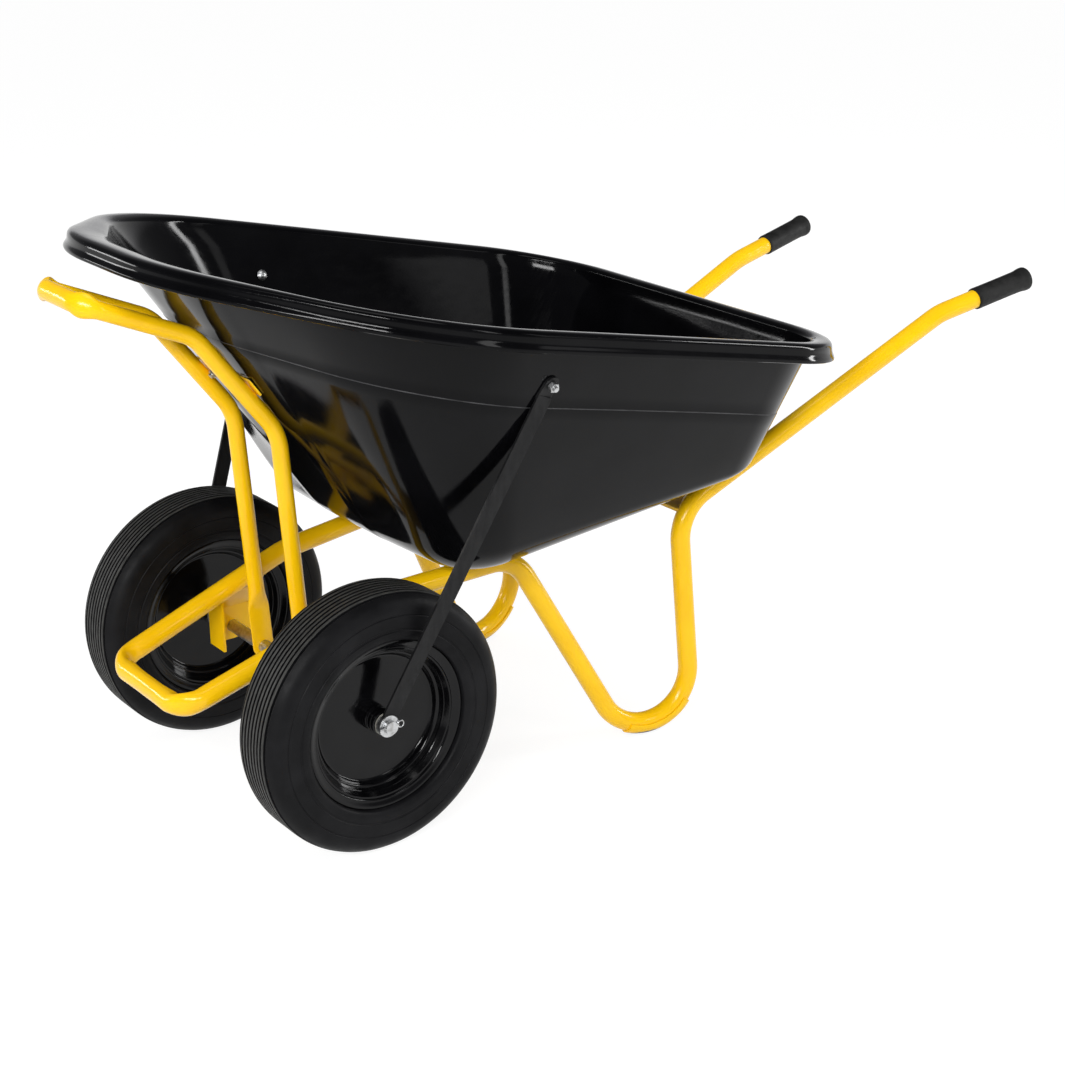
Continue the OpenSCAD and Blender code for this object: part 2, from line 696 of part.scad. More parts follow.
// Box bar let down over both rails, under the front of the tray's floor
front_bar_h = floor_at(-front_bar_x) - rail_at(-front_bar_x).z - tube_r + front_bar_bite;
bar_wall = tube_wall;
module front_cross_bar() color(yellow) from_axle() {
    difference() {
        on_floor(-front_bar_x, 0)
            translate([-front_bar_w / 2, -front_bar_y, seat_gap])
                cube([front_bar_w, 2 * front_bar_y, front_bar_h]);
        on_floor(-front_bar_x, 0)
            translate([-front_bar_w / 2 + bar_wall, -front_bar_y - overrun, seat_gap + bar_wall])
                cube([front_bar_w - 2 * bar_wall, 2 * (front_bar_y + overrun), front_bar_h - 2 * bar_wall]);
        for (side = [1, -1])
            on_side(side) {
                at_front_floor_bolt()
                    translate([0, 0, -overrun])
                        cylinder(h = front_bar_h + 2 * overrun, d = bolt_d + 2 * hole_gap);
                bar(rail_bend, front_leg_top, tube_d + 2 * seat_gap);
            }
    }
}

// Folded bracket welded under a rail, with a hole for the axle and a flange at its front edge
module axle_bracket() {
    rail = rail_at(0);
    fold_z = wheel_r + bracket_fold;
    inner_y = bracket_y - bracket_t;
    difference() {
        union() {
            translate([bracket_len / 2, 0, 0])
                rotate([90, 0, -90])
                    linear_extrude(bracket_len)
                        polygon([[-bracket_y, wheel_r - bracket_below], [-inner_y, wheel_r - bracket_below],
                            [-inner_y, fold_z], [-rail.y + bracket_t, rail.z], [-rail.y - bracket_t, rail.z],
                            [-bracket_y, fold_z]]);
            translate([bracket_len / 2, 0, 0])
                rotate([90, 0, -90])
                    linear_extrude(bracket_t)
                        polygon([[-bracket_y, wheel_r - bracket_below], [-rail.y, wheel_r - bracket_below],
                            [-rail.y, rail.z], [-bracket_y, fold_z]]);
        }
        translate([0, bracket_y + overrun, wheel_r])
            rotate([90, 0, 0])
                cylinder(h = bracket_t + 2 * overrun, d = axle_d + 2 * hole_gap);
        bar(loop_corner, rail_bend, tube_d + 2 * seat_gap);
    }
}
module left_axle_bracket() color(yellow) from_axle() axle_bracket();
module right_axle_bracket() color(yellow) from_axle() on_side(-1) axle_bracket();

// Axle and what sits on it: distances from the middle plane of the barrow

hub_outer_y = wheel_y + hub_len / 2 + bush_flange_t;
hub_inner_y = wheel_y - hub_len / 2 - bush_flange_t;
inner_washer_y = hub_outer_y + side_gap;
strap_y = inner_washer_y + washer_t;
outer_washer_y = strap_y + strap_t;
pin_y = outer_washer_y + washer_t + pin_d / 2 + hole_gap;
axle_end_y = outer_washer_y + washer_t + axle_proud;

// Shapes turned about the axle, with Z of the shape pointing out to the left
module on_axle(y) translate([0, y, wheel_r]) rotate([-90, 0, 0]) children();

module axle() color(zinc) from_axle() difference() {
    on_axle(-axle_end_y) cylinder(h = 2 * axle_end_y, d = axle_d);
    for (side = [1, -1])
        translate([-axle_d, side * pin_y, wheel_r])
            rotate([0, 90, 0])
                cylinder(h = 2 * axle_d, d = pin_d + 2 * hole_gap);
}

module ring_on_axle(y, length, d) {
    on_axle(y) difference() {
        cylinder(h = length, d = d);
        translate([0, 0, -overrun]) cylinder(h = length + 2 * overrun, d = axle_d + 2 * hole_gap);
    }
}
module axle_spacer() ring_on_axle(bracket_y, hub_inner_y - side_gap - bracket_y, spacer_d);
module left_axle_spacer() color(zinc) from_axle() axle_spacer();
module right_axle_spacer() color(zinc) from_axle() on_side(-1) axle_spacer();

module axle_washers() color(zinc) from_axle()
    for (side = [1, -1])
        on_side(side) {
            ring_on_axle(inner_washer_y, washer_t, washer_d);
            ring_on_axle(outer_washer_y, washer_t, washer_d);
        }

// Split pin with its eye behind the axle
module split_pin() {
    wire_d = pin_d / 2;
    translate([0, pin_y, wheel_r]) {
        translate([-axle_d / 2 - pin_d, 0, 0]) rotate([0, 90, 0]) cylinder(h = pin_len, d = pin_d);
        translate([-axle_d / 2 - pin_d - pin_eye_d / 2 + wire_d, 0, 0])
            rotate([90, 0, 0])
                rotate_extrude()
                    translate([(pin_eye_d - wire_d) / 2, 0])
                        circle(d = wire_d);
    }
}
module split_pins() color(zinc) from_axle()
    for (side = [1, -1])
        on_side(side) split_pin();

// Wheels

// Rounded bar section from r = low to r = high, with its own corner radius at each end
module round_section(low, high, half, low_r, high_r) {
    translate([low + low_r, -half]) square([high - low - low_r - high_r, 2 * half]);
    translate([low, -half + low_r]) square([high - low - high_r, 2 * (half - low_r)]);
    translate([low + low_r, -half + high_r]) square([high - low - low_r, 2 * (half - high_r)]);
    for (s = [1, -1]) {
        translate([low + low_r, s * (half - low_r)]) circle(r = low_r);
        translate([high - high_r, s * (half - high_r)]) circle(r = high_r);
    }
}
// Tyre section, hollow, open at the rim and notched for its edges: Y is along the axle from the middle plane
module tyre_section() {
    low = rim_d / 2;
    half = tyre_w / 2;
    neck = half - bead_r - bead_t;
    cavity_low = low + bead_h;
    cavity_high = wheel_r - tread_t;
    cavity_half_h = (cavity_high - cavity_low) / 2;
    difference() {
        round_section(low, wheel_r, half, bead_r, shoulder_r);
        round_section(cavity_low, cavity_high, half - side_t, min(side_t, cavity_half_h),
            min(shoulder_r - side_t, cavity_half_h));
        translate([low - overrun, -neck]) square([bead_h + 2 * overrun, 2 * neck]);
        for (s = [0, 1])
            mirror([0, s])
                translate([low - overrun, half - bead_r]) square([rim_lip + seat_gap + overrun, bead_r]);
        for (i = [0 : groove_count - 1])
            translate([wheel_r - groove_depth, (i - (groove_count - 1) / 2) * groove_pitch - groove_w / 2])
                square([groove_depth + overrun, groove_w]);
    }
}
groove_pitch = (tyre_w - shoulder_r) / groove_count;
module tyre() on_axle(wheel_y) rotate_extrude() tyre_section();
module left_tyre() color(rubber_black) from_axle() tyre();
module right_tyre() color(rubber_black) from_axle() on_side(-1) tyre();

// Pressed rim half: stepped dish from the edge in to the flat middle, which the hub passes through
rim_seat_r = rim_d / 2 - seat_gap;
rim_edge_out = tyre_w / 2 - bead_r + rim_t;
rim_step = (rim_seat_r - rim_flat_d / 2 - rim_t) / 6;
rim_fall = (rim_edge_out - rim_flat_out) / 3;
// Distance from the middle plane at each step of the dish, from the edge in
rim_dish = [
    [rim_seat_r + rim_lip, rim_edge_out + rim_t],
    [rim_seat_r - rim_t, rim_edge_out],
    [rim_seat_r - rim_t - 2 * rim_step, rim_edge_out - rim_fall / 2],
    [rim_seat_r - rim_t - 3 * rim_step, rim_edge_out - rim_fall * 3 / 2],
    [rim_seat_r - rim_t - 4 * rim_step, rim_edge_out - rim_fall * 7 / 4],
    [rim_seat_r - rim_t - 5 * rim_step, rim_flat_out + rim_fall / 2],
    [rim_seat_r - rim_t - 6 * rim_step, rim_flat_out],
    [hub_d / 2 + seat_gap, rim_flat_out]];
module rim_section() {
    polygon(concat(
        [for (p = rim_dish) p],
        [for (i = [len(rim_dish) - 1 : -1 : 0]) rim_dish[i] - [0, rim_t]]));
    difference() {
        translate([rim_seat_r - 2 * rim_t, 0]) square([2 * rim_t, rim_edge_out]);
        translate([rim_seat_r - 2 * rim_t - overrun, -overrun]) square([rim_t + overrun, rim_flat_out]);
    }
}
module rim_half(sign) on_axle(wheel_y) mirror([0, 0, sign < 0 ? 1 : 0]) rotate_extrude() rim_section();
module left_rim_outer_half() color(black_paint) from_axle() rim_half(1);
module left_rim_inner_half() color(black_paint) from_axle() rim_half(-1);
module right_rim_outer_half() color(black_paint) from_axle() on_side(-1) rim_half(1);
module right_rim_inner_half() color(black_paint) from_axle() on_side(-1) rim_half(-1);

// Hub tube with raised bands towards each end, bored for the bushes
band_count = 3;
band_w = 4;
band_h = 1.5;
module hub() {
    on_axle(wheel_y) difference() {
        union() {
            translate([0, 0, -hub_len / 2]) cylinder(h = hub_len, d = hub_d);
            for (s = [1, -1], i = [0 : band_count - 1])
                translate([0, 0, s * (hub_len / 2 - band_w * (2 * i + 1)) - band_w / 2])
                    cylinder(h = band_w, d = hub_d + 2 * band_h);
        }
        translate([0, 0, -hub_len / 2 - overrun])
            cylinder(h = hub_len + 2 * overrun, d = bush_d + 2 * seat_gap);
    }
}
module left_hub() color(black_paint) from_axle() hub();
module right_hub() color(black_paint) from_axle() on_side(-1) hub();

module hub_bush() {
    difference() {
        union() {
            translate([0, 0, hub_len / 2 - bush_len]) cylinder(h = bush_len, d = bush_d);
            translate([0, 0, hub_len / 2]) cylinder(h = bush_flange_t, d = bush_flange_d);
        }
        translate([0, 0, hub_len / 2 - bush_len - overrun])
            cylinder(h = bush_len + bush_flange_t + 2 * overrun, d = axle_d + 2 * running_gap);
    }
}
module hub_bushes() on_axle(wheel_y) for (s = [0, 1]) mirror([0, 0, s]) hub_bush();
module left_hub_bushes() color(bronze) from_axle() hub_bushes();
module right_hub_bushes() color(bronze) from_axle() on_side(-1) hub_bushes();

// Grip: rubber sleeve with a closed, collared end
module grip() {
    tail = handle_end - grip_axis * (grip_len - grip_end_t);
    collar = handle_end - grip_axis * grip_end_t;
    difference() {
        union() {
            bar(tail, handle_end + grip_axis * grip_end_t, grip_d);
            bar(collar, handle_end + grip_axis * grip_end_t, grip_collar_d);
        }
        bar(tail - grip_axis * overrun, handle_end + grip_axis * seat_gap, tube_d + 2 * seat_gap);
    }
}
module left_grip() color(rubber_black) from_axle() grip();
module right_grip() color(rubber_black) from_axle() on_side(-1) grip();

// Wear shoe: half sleeve on the outside of the foot's bend
foot_turn = turn(front_leg_top, foot_corner, rear_leg_top);
module foot_shoe() {
    at_bend(front_leg_top, foot_corner, rear_leg_top, foot_r)
        rotate([0, 0, (foot_turn - shoe_angle) / 2])
            rotate_extrude(angle = shoe_angle)
                translate([foot_r, 0])
                    difference() {
                        circle(r = tube_r + shoe_t);
                        circle(r = tube_r + seat_gap);
                        translate([-2 * tube_d, -tube_d]) square([2 * tube_d, 2 * tube_d]);
                    }
}
module left_foot_shoe() color(yellow) from_axle() foot_shoe();
module right_foot_shoe() color(yellow) from_axle() on_side(-1) foot_shoe();

// Stay strap: flat bar from the axle's end to the tray's side, bent and turned there to lie flat
stay_rise = stay_place.z - wheel_r;
stay_len = norm([stay_x, stay_rise]);
stay_back = atan2(stay_x, stay_rise);
stay_foot_len = washer_d / 2 + stay_foot_past;
// The strap's way down along the wall, and where its seat ends there
to_axle = [0, stay_place.y, wheel_r] - stay_place;
seat_turn = atan2(to_axle * stay_fore, to_axle * stay_down);
seat_run = stay_seat_len / 2;
seat_low = stay_place + (stay_fore * sin(seat_turn) + stay_down * cos(seat_turn)) * seat_run
    + stay_out * plate_gap;
seat_low_len = norm([seat_low.x, seat_low.z - wheel_r]);
// Room for the strap's edge where its middle run meets the wall at a slant
slant_room = strap_w / 2 * abs(stay_out.z) * sin(stay_back);
run_low = [strap_y, stay_foot_len];
run_high = [seat_low.y + slant_room, seat_low_len];
// Middle run of the strap, seen along its width: half width against distance up from the axle
strap_line = [[strap_y, -strap_w], run_low, run_high];
// Stands the strap's own plane up from the axle and leans it back
module along_stay() translate([0, 0, wheel_r]) rotate([0, -stay_back, 0]) children();
module strap_run() {
    intersection() {
        along_stay()
            translate([-strap_w / 2, 0, 0])
                rotate([90, 0, 90])
                    linear_extrude(strap_w)
                        polygon(concat(strap_line, [for (i = [2 : -1 : 0]) strap_line[i] + [strap_t, 0]]));
        along_stay()
            rotate([-90, 0, 0])
                mirror([0, 1, 0])
                    linear_extrude(2 * stay_place.y) {
                        circle(d = strap_w);
                        translate([-strap_w / 2, 0]) square([strap_w, stay_len]);
                    }
    }
}
module strap() {
    difference() {
        union() {
            strap_run();
            at_stay_bolt()
                translate([0, 0, plate_gap])
                    rotate([0, 0, -seat_turn])
                        linear_extrude(strap_t) {
                            circle(d = strap_w);
                            translate([-strap_w / 2, 0]) square([strap_w, seat_run + strap_t]);
                        }
        }
        on_axle(strap_y - strap_t) cylinder(h = 3 * strap_t, d = axle_d + 2 * hole_gap);
        at_stay_bolt() through_hole();
    }
}
module left_stay_strap() color(black_paint) from_axle() strap();
module right_stay_strap() color(black_paint) from_axle() on_side(-1) strap();

// Bolts with domed heads inside the tray, and their nuts outside

// Bolt through the tray's skin and a stack of other pieces, with Z = 0 on the tray's outside face
module bolt(skin, stack) {
    head_z = -skin - seat_gap;
    translate([0, 0, head_z]) cylinder(h = -head_z + stack + nut_h + bolt_proud, d = bolt_d);
    dome_r = (bolt_head_d * bolt_head_d / 4 + bolt_head_h * bolt_head_h) / (2 * bolt_head_h);
    intersection() {
        translate([0, 0, head_z - bolt_head_h + dome_r]) sphere(r = dome_r);
        translate([0, 0, head_z - bolt_head_h]) cylinder(h = bolt_head_h, d = bolt_head_d + overrun);
    }
}
module nut(stack) {
    translate([0, 0, stack])
        difference() {
            cylinder(h = nut_h, d = nut_af / cos(30), $fn = 6);
            translate([0, 0, -overrun]) cylinder(h = nut_h + 2 * overrun, d = bolt_d + 2 * seat_gap);
        }
}
stay_stack = strap_t + 2 * plate_gap;
front_stack = front_bar_h + 2 * seat_gap;
rear_stack = rear_bar_drop + bar_t + seat_gap;
plate_stack = plate_t + 2 * plate_gap;

module stay_bolts() color(zinc) from_axle()
    for (side = [1, -1]) on_side(side) at_stay_bolt() bolt(tray_wall, stay_stack);
module stay_nuts() color(zinc) from_axle()
    for (side = [1, -1]) on_side(side) at_stay_bolt() nut(stay_stack);
module floor_bolts() color(zinc) from_axle()
    for (side = [1, -1])
        on_side(side) {
            at_front_floor_bolt() bolt(floor_t, front_stack);
            at_rear_floor_bolt() bolt(floor_t, rear_stack);
        }
module floor_nuts() color(zinc) from_axle()
    for (side = [1, -1])
        on_side(side) {
            at_front_floor_bolt() nut(front_stack);
            at_rear_floor_bolt() nut(rear_stack);
        }
module front_wall_bolts() color(zinc) from_axle()
    for (side = [1, -1]) on_side(side) at_front_wall_bolt() bolt(tray_wall, plate_stack);
module front_wall_nuts() color(zinc) from_axle()
    for (side = [1, -1]) on_side(side) at_front_wall_bolt() nut(plate_stack);

left_main_tube();
right_main_tube();
nose_hoop();
hoop_cross_plate();
front_cross_bar();
rear_cross_bar();
rear_floor_spacers();
left_axle_bracket();
right_axle_bracket();
axle();
left_axle_spacer();
right_axle_spacer();
tray();
left_stay_strap();
right_stay_strap();
left_grip();
right_grip();
left_foot_shoe();
right_foot_shoe();
left_tyre();
right_tyre();
left_rim_outer_half();
left_rim_inner_half();
right_rim_outer_half();
right_rim_inner_half();
left_hub();
right_hub();
left_hub_bushes();
right_hub_bushes();
axle_washers();
split_pins();
stay_bolts();
stay_nuts();
floor_bolts();
floor_nuts();
front_wall_bolts();
front_wall_nuts();
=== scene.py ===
import json
import math
import bpy
from mathutils import Matrix, Vector


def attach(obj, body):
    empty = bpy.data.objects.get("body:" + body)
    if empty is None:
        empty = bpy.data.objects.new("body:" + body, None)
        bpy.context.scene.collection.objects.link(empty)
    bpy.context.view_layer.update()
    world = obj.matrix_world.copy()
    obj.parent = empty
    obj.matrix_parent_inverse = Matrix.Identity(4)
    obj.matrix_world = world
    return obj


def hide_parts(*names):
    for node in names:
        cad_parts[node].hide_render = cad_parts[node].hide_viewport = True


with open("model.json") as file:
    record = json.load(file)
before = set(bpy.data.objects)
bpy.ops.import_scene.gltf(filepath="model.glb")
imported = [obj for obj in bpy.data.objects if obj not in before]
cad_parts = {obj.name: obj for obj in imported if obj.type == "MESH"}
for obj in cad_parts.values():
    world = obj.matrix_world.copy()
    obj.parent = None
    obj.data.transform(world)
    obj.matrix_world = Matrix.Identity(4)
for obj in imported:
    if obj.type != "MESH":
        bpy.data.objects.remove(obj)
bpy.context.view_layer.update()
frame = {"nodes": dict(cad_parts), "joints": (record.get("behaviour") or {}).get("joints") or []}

# Main tube: steel tube of 32 mm, bent cold into nose loop, rails, legs and handles, and powder coated yellow.
# It is made as a left and a right half, welded in the middle of the nose loop, where the tight corners
# have flattened on their inside.
MM = 0.001
axle = Vector(frame["joints"][0]["pos_m"])
axle.y = 0
tube_d = 32 * MM
loop_r = 40 * MM
rail_r = 200 * MM
front_leg_r = 62 * MM
foot_r = 82 * MM
rear_leg_r = 80 * MM
handle_r = 150 * MM
shoe_t = 3 * MM
# Share of its depth that the tube loses in the loop's corners and along the loop's front
loop_crush = 0.55
loop_front_crush = 0.2
loop_inward = Vector((-1, 0, 0.2)).normalized()
# Share of a crush that widens the tube, and share of it that the outside of the bend takes
crush_spread = 0.72
crush_outside = 0.3
# Spacing of the rings along straight runs, their turn in bends in degrees, and the points on each ring
run_step = 40 * MM
bend_step = 3
least_bend_steps = 4
tube_sides = 36
# Angle between two faces from which their edge stays crisp
crisp_angle = math.radians(38)
# Values between which most of a noise lies
noise_ends = (0.3, 0.7)
upward = Vector((0, 0, 1))
yellow_base = (0.95, 0.565, 0.004, 1)
yellow_warm = (0.91, 0.515, 0.003, 1)


def from_axle(x, y, z):
    """Point given in millimetres forward of the axle, out to the left and up from the ground."""
    return Vector((axle.x + x * MM, y * MM, z * MM))


def on_side(point, side):
    """The point itself on the left, or its mirror image on the right."""
    return Vector((point.x, side * point.y, point.z))


def add_run(line, end):
    """Carries a middle line straight on to an end point."""
    start = line[-1][0]
    count = max(1, round((end - start).length / run_step))
    for k in range(1, count + 1):
        line.append((start.lerp(end, k / count), None))


def bent_line(corners, radii, crushes):
    """Middle line of a bent tube: its points, each with the way to the inside of a crushed bend."""
    line = [(corners[0].copy(), None)]
    for before, here, after, radius, crush in zip(corners, corners[1:], corners[2:], radii, crushes):
        along = (here - before).normalized()
        out = (after - here).normalized()
        turn = along.angle(out)
        start = here - along * radius * math.tan(turn / 2)
        inward = (out - along * out.dot(along)).normalized()
        centre = start + inward * radius
        add_run(line, start)
        steps = max(least_bend_steps, round(math.degrees(turn) / bend_step))
        for k in range(1, steps + 1):
            angle = turn * k / steps
            spoke = along * math.sin(angle) - inward * math.cos(angle)
            dent = -spoke * crush * math.sin(math.pi * k / steps) if crush else None
            line.append((centre + spoke * radius, dent))
    add_run(line, corners[-1])
    return line


def new_piece(name, points, faces):
    """Object of a mesh with smooth faces and crisp edges."""
    mesh = bpy.data.meshes.new(name)
    mesh.from_pydata([tuple(p) for p in points], [], faces)
    mesh.validate()
    mesh.shade_smooth()
    mesh.set_sharp_from_angle(angle=crisp_angle)
    piece = bpy.data.objects.new(name, mesh)
    bpy.context.scene.collection.objects.link(piece)
    return piece


def rings_piece(name, rings, closed=False):
    """Skin over a row of rings, capped at both ends or closed on itself."""
    size = len(rings[0])
    points = [p for ring in rings for p in ring]
    faces = []
    for j in range(len(rings) if closed else len(rings) - 1):
        low = j * size
        high = (j + 1) % len(rings) * size
        for k in range(size):
            after = (k + 1) % size
            faces.append((low + k, low + after, high + after, high + k))
    if not closed:
        faces.append(tuple(range(size - 1, -1, -1)))
        faces.append(tuple(range((len(rings) - 1) * size, len(rings) * size)))
    return new_piece(name, points, faces)


def swept_rings(line, half_axes, side_hint):
    """Rings round a middle line; half_axes(k) gives a ring's two half widths, the first towards the hint."""
    points = [p for p, _ in line]
    rings = []
    normal = side_hint
    for k, (point, dent) in enumerate(line):
        along = (points[min(k + 1, len(points) - 1)] - points[max(k - 1, 0)]).normalized()
        normal = (normal - along * normal.dot(along)).normalized()
        across = along.cross(normal)
        a, b = half_axes(k)
        ring = []
        for i in range(tube_sides):
            angle = 2 * math.pi * i / tube_sides
            spoke = normal * a * math.cos(angle) + across * b * math.sin(angle)
            if dent is not None and dent.length > 0:
                inward = dent.normalized()
                deep = spoke.dot(inward)
                broad = along.cross(inward)
                spoke += broad * spoke.dot(broad) * dent.length ** 2 * crush_spread
                spoke -= inward * deep * dent.length * (1 if deep > 0 else crush_outside)
            ring.append(point + spoke)
        rings.append(ring)
    return rings


def noise(nodes, links, scale, detail, stretch=None):
    """Noise in the object's own space, with its grain in cycles per metre."""
    place = nodes.new("ShaderNodeTexCoord")
    grain = nodes.new("ShaderNodeTexNoise")
    grain.inputs["Scale"].default_value = scale
    grain.inputs["Detail"].default_value = detail
    source = place.outputs["Object"]
    if stretch:
        mapping = nodes.new("ShaderNodeMapping")
        mapping.inputs["Scale"].default_value = stretch
        links.new(source, mapping.inputs["Vector"])
        source = mapping.outputs["Vector"]
    links.new(source, grain.inputs["Vector"])
    return grain.outputs["Fac"]


def ramp(nodes, links, value, stops):
    """Colours that follow a value from 0 to 1."""
    band = nodes.new("ShaderNodeValToRGB")
    elements = band.color_ramp.elements
    while len(elements) < len(stops):
        elements.new(0.5)
    for element, (place, colour) in zip(elements, stops):
        element.position = place
        element.color = colour
    links.new(value, band.inputs["Fac"])
    return band.outputs["Color"]


def span(nodes, links, value, ends, low, high):
    """Number from low to high that follows a value between its two ends."""
    change = nodes.new("ShaderNodeMapRange")
    change.inputs["From Min"].default_value = ends[0]
    change.inputs["From Max"].default_value = ends[1]
    change.inputs["To Min"].default_value = low
    change.inputs["To Max"].default_value = high
    links.new(value, change.inputs["Value"])
    return change.outputs["Result"]


def new_finish(name, shine, metal=0.0):
    """Material with one Principled shader, its constants set on the shader's own sockets."""
    material = bpy.data.materials.new(name)
    material.use_nodes = True
    nodes = material.node_tree.nodes
    shader = nodes["Principled BSDF"]
    shader.inputs["Specular IOR Level"].default_value = shine
    shader.inputs["Metallic"].default_value = metal
    return material, nodes, material.node_tree.links, shader


def add_surface(nodes, links, shader, rough, rough_grain, relief):
    """Roughness between two values, and relief from layers of grain with their depth in metres."""
    grain = noise(nodes, links, **rough_grain)
    links.new(span(nodes, links, grain, noise_ends, *rough), shader.inputs["Roughness"])
    normal = None
    for layer, depth in relief:
        raised = nodes.new("ShaderNodeBump")
        raised.inputs["Strength"].default_value = 1.0
        raised.inputs["Distance"].default_value = depth
        links.new(noise(nodes, links, **layer), raised.inputs["Height"])
        if normal:
            links.new(normal, raised.inputs["Normal"])
        normal = raised.outputs["Normal"]
    if normal:
        links.new(normal, shader.inputs["Normal"])


def mottled_finish(name, shine, tones, patches, rough, rough_grain, relief=(), metal=0.0):
    """Finish whose colour drifts between two tones in patches, over the surface's roughness and relief."""
    material, nodes, links, shader = new_finish(name, shine, metal)
    clouds = noise(nodes, links, **patches)
    links.new(ramp(nodes, links, clouds, tones), shader.inputs["Base Color"])
    add_surface(nodes, links, shader, rough, rough_grain, relief)
    return material


# The powder coat has a fine orange peel, and a slightly warmer, thinner film in patches
yellow = mottled_finish(
    "yellow_powder_coat", shine=0.3,
    tones=[(0.3, yellow_warm), (0.6, yellow_base)], patches=dict(scale=14, detail=4),
    rough=(0.13, 0.22), rough_grain=dict(scale=60, detail=2),
    relief=[(dict(scale=420, detail=2), 0.12 * MM), (dict(scale=30, detail=1), 0.4 * MM)])

nose_middle = from_axle(229, 0, 222)
loop_corner = from_axle(229, 103, 222)
rail_bend = from_axle(-81, 126, 322)
front_leg_top = from_axle(-325, 154, 338)
foot_ground = from_axle(-535, 229, 0)
rear_leg_top = from_axle(-609, 217, 367)
handle_bend = from_axle(-1164, 250, 607)
handle_end = from_axle(-1352, 272, 643)
# The foot is a round bend whose legs touch it: its corner is where the two leg lines meet
foot_low = foot_ground + upward * (tube_d / 2 + shoe_t)
foot_plane = (front_leg_top - foot_low).cross(rear_leg_top - foot_low).normalized()
foot_up = (upward - foot_plane * foot_plane.z).normalized()
foot_fore = foot_up.cross(foot_plane)
foot_centre = foot_low + foot_up * foot_r


def leg_way(top, side):
    """Direction, in the foot's plane, of the line from a leg's top that touches the foot's bend."""
    gap = top - foot_centre
    x = gap.dot(foot_fore)
    y = gap.dot(foot_up)
    angle = math.atan2(-y, -x) + side * math.asin(foot_r / math.hypot(x, y))
    return foot_fore * math.cos(angle) + foot_up * math.sin(angle)


turn_side = 1 if (front_leg_top - rear_leg_top).dot(foot_fore) > 0 else -1
front_way = leg_way(front_leg_top, turn_side)
rear_way = leg_way(rear_leg_top, -turn_side)
across_rear = rear_way.cross(foot_plane)
front_leg_run = (rear_leg_top - front_leg_top).dot(across_rear) / front_way.dot(across_rear)
foot_corner = front_leg_top + front_way * front_leg_run

tube_corners = [nose_middle, loop_corner, rail_bend, front_leg_top, foot_corner, rear_leg_top, handle_bend,
                handle_end]
tube_bends = [loop_r, rail_r, front_leg_r, foot_r, rear_leg_r, handle_r]
tube_crushes = [loop_crush, 0, 0, 0, 0, 0]
for side, node in ((1, "left_main_tube"), (-1, "right_main_tube")):
    line = bent_line([on_side(corner, side) for corner in tube_corners], tube_bends, tube_crushes)
    for k, (point, _) in enumerate(line):
        if abs(point.y) < loop_corner.y - loop_r:
            line[k] = (point, loop_inward * loop_front_crush)
    rings = swept_rings(line, lambda k: (tube_d / 2, tube_d / 2), upward)
    tube = rings_piece(node.replace("main_tube", "bent_tube"), rings)
    tube.data.materials.append(yellow)
    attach(tube, "frame")
    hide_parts(node)

# Nose hoop: a thinner tube of 25 mm, bent up in front of the tray, crushed at its two front corners.
# Its lower ends are pressed flat and threaded on the axle between the rails.
hoop_d = 25 * MM
hoop_corner_r = 30 * MM
hoop_low_r = 90 * MM
hoop_top_r = 70 * MM
hoop_tab_w = 36 * MM
hoop_tab_t = 6 * MM
hoop_tab_len = 62 * MM
hoop_taper_len = 40 * MM
hoop_crush = 0.74
hoop_front_crush = 0.4
# Finer rings near the pressed ends, and the least share of its width that an end keeps at its tip
hoop_fine_len = 200 * MM
hoop_fine_step = 3 * MM
hoop_tip_share = 0.1414
hoop_eye = from_axle(-1.2, 64, 182)
hoop_wall_bend = from_axle(27.1, 64, 588.3)
hoop_top_bend = from_axle(150.5, 64, 750.5)
hoop_front_corner = from_axle(312, 64, 821)
hoop_side = [hoop_eye, hoop_wall_bend, hoop_top_bend, hoop_front_corner]
hoop_corners = hoop_side + [on_side(corner, -1) for corner in reversed(hoop_side)]
hoop_bends = [hoop_low_r, hoop_top_r, hoop_corner_r, hoop_corner_r, hoop_top_r, hoop_low_r]
hoop_crushes = [0, 0, hoop_crush, hoop_crush, 0, 0]
hoop_back = (hoop_top_bend - hoop_front_corner).normalized()


def end_reach(point):
    """Distance from a point to the nearer end of the hoop."""
    return min((point - end).length for end in (hoop_corners[0], hoop_corners[-1]))


def hoop_middle_line():
    """Middle line of the hoop, flattened along its front, with close points near the pressed ends."""
    line = []
    for point, dent in bent_line(hoop_corners, hoop_bends, hoop_crushes):
        if (point - hoop_front_corner).dot(hoop_back) < hoop_corner_r / 2:
            depth = dent.length if dent is not None else 0
            dent = (dent.normalized() if depth > 0 else hoop_back) * max(depth, hoop_front_crush)
        if line and end_reach(point) < hoop_fine_len:
            start = line[-1][0]
            count = max(1, round((point - start).length / hoop_fine_step))
            line += [(start.lerp(point, j / count), None) for j in range(1, count)]
        line.append((point, dent))
    return line


hoop_line = hoop_middle_line()


def hoop_half_axes(k):
    """Round along the hoop, flat and wide at the eyes on the axle, with a smooth press between."""
    reach = end_reach(hoop_line[k][0])
    press = min(1, max(0, (hoop_tab_len + hoop_taper_len + hoop_tab_w / 2 - reach) / hoop_taper_len))
    press = press * press * (3 - 2 * press)
    wide = hoop_d / 2 + (hoop_tab_w - hoop_d) / 2 * press
    thin = hoop_d / 2 + (hoop_tab_t - hoop_d) / 2 * press
    over = reach / (hoop_tab_w / 2)
    if over < 1:
        wide *= max(hoop_tip_share, math.sqrt(1 - (1 - over) ** 2))
    return wide, thin


hoop = rings_piece("tipping_hoop", swept_rings(hoop_line, hoop_half_axes, Vector((1, 0, 0))))
hoop.data.materials.append(yellow)
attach(hoop, "frame")
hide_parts("nose_hoop")

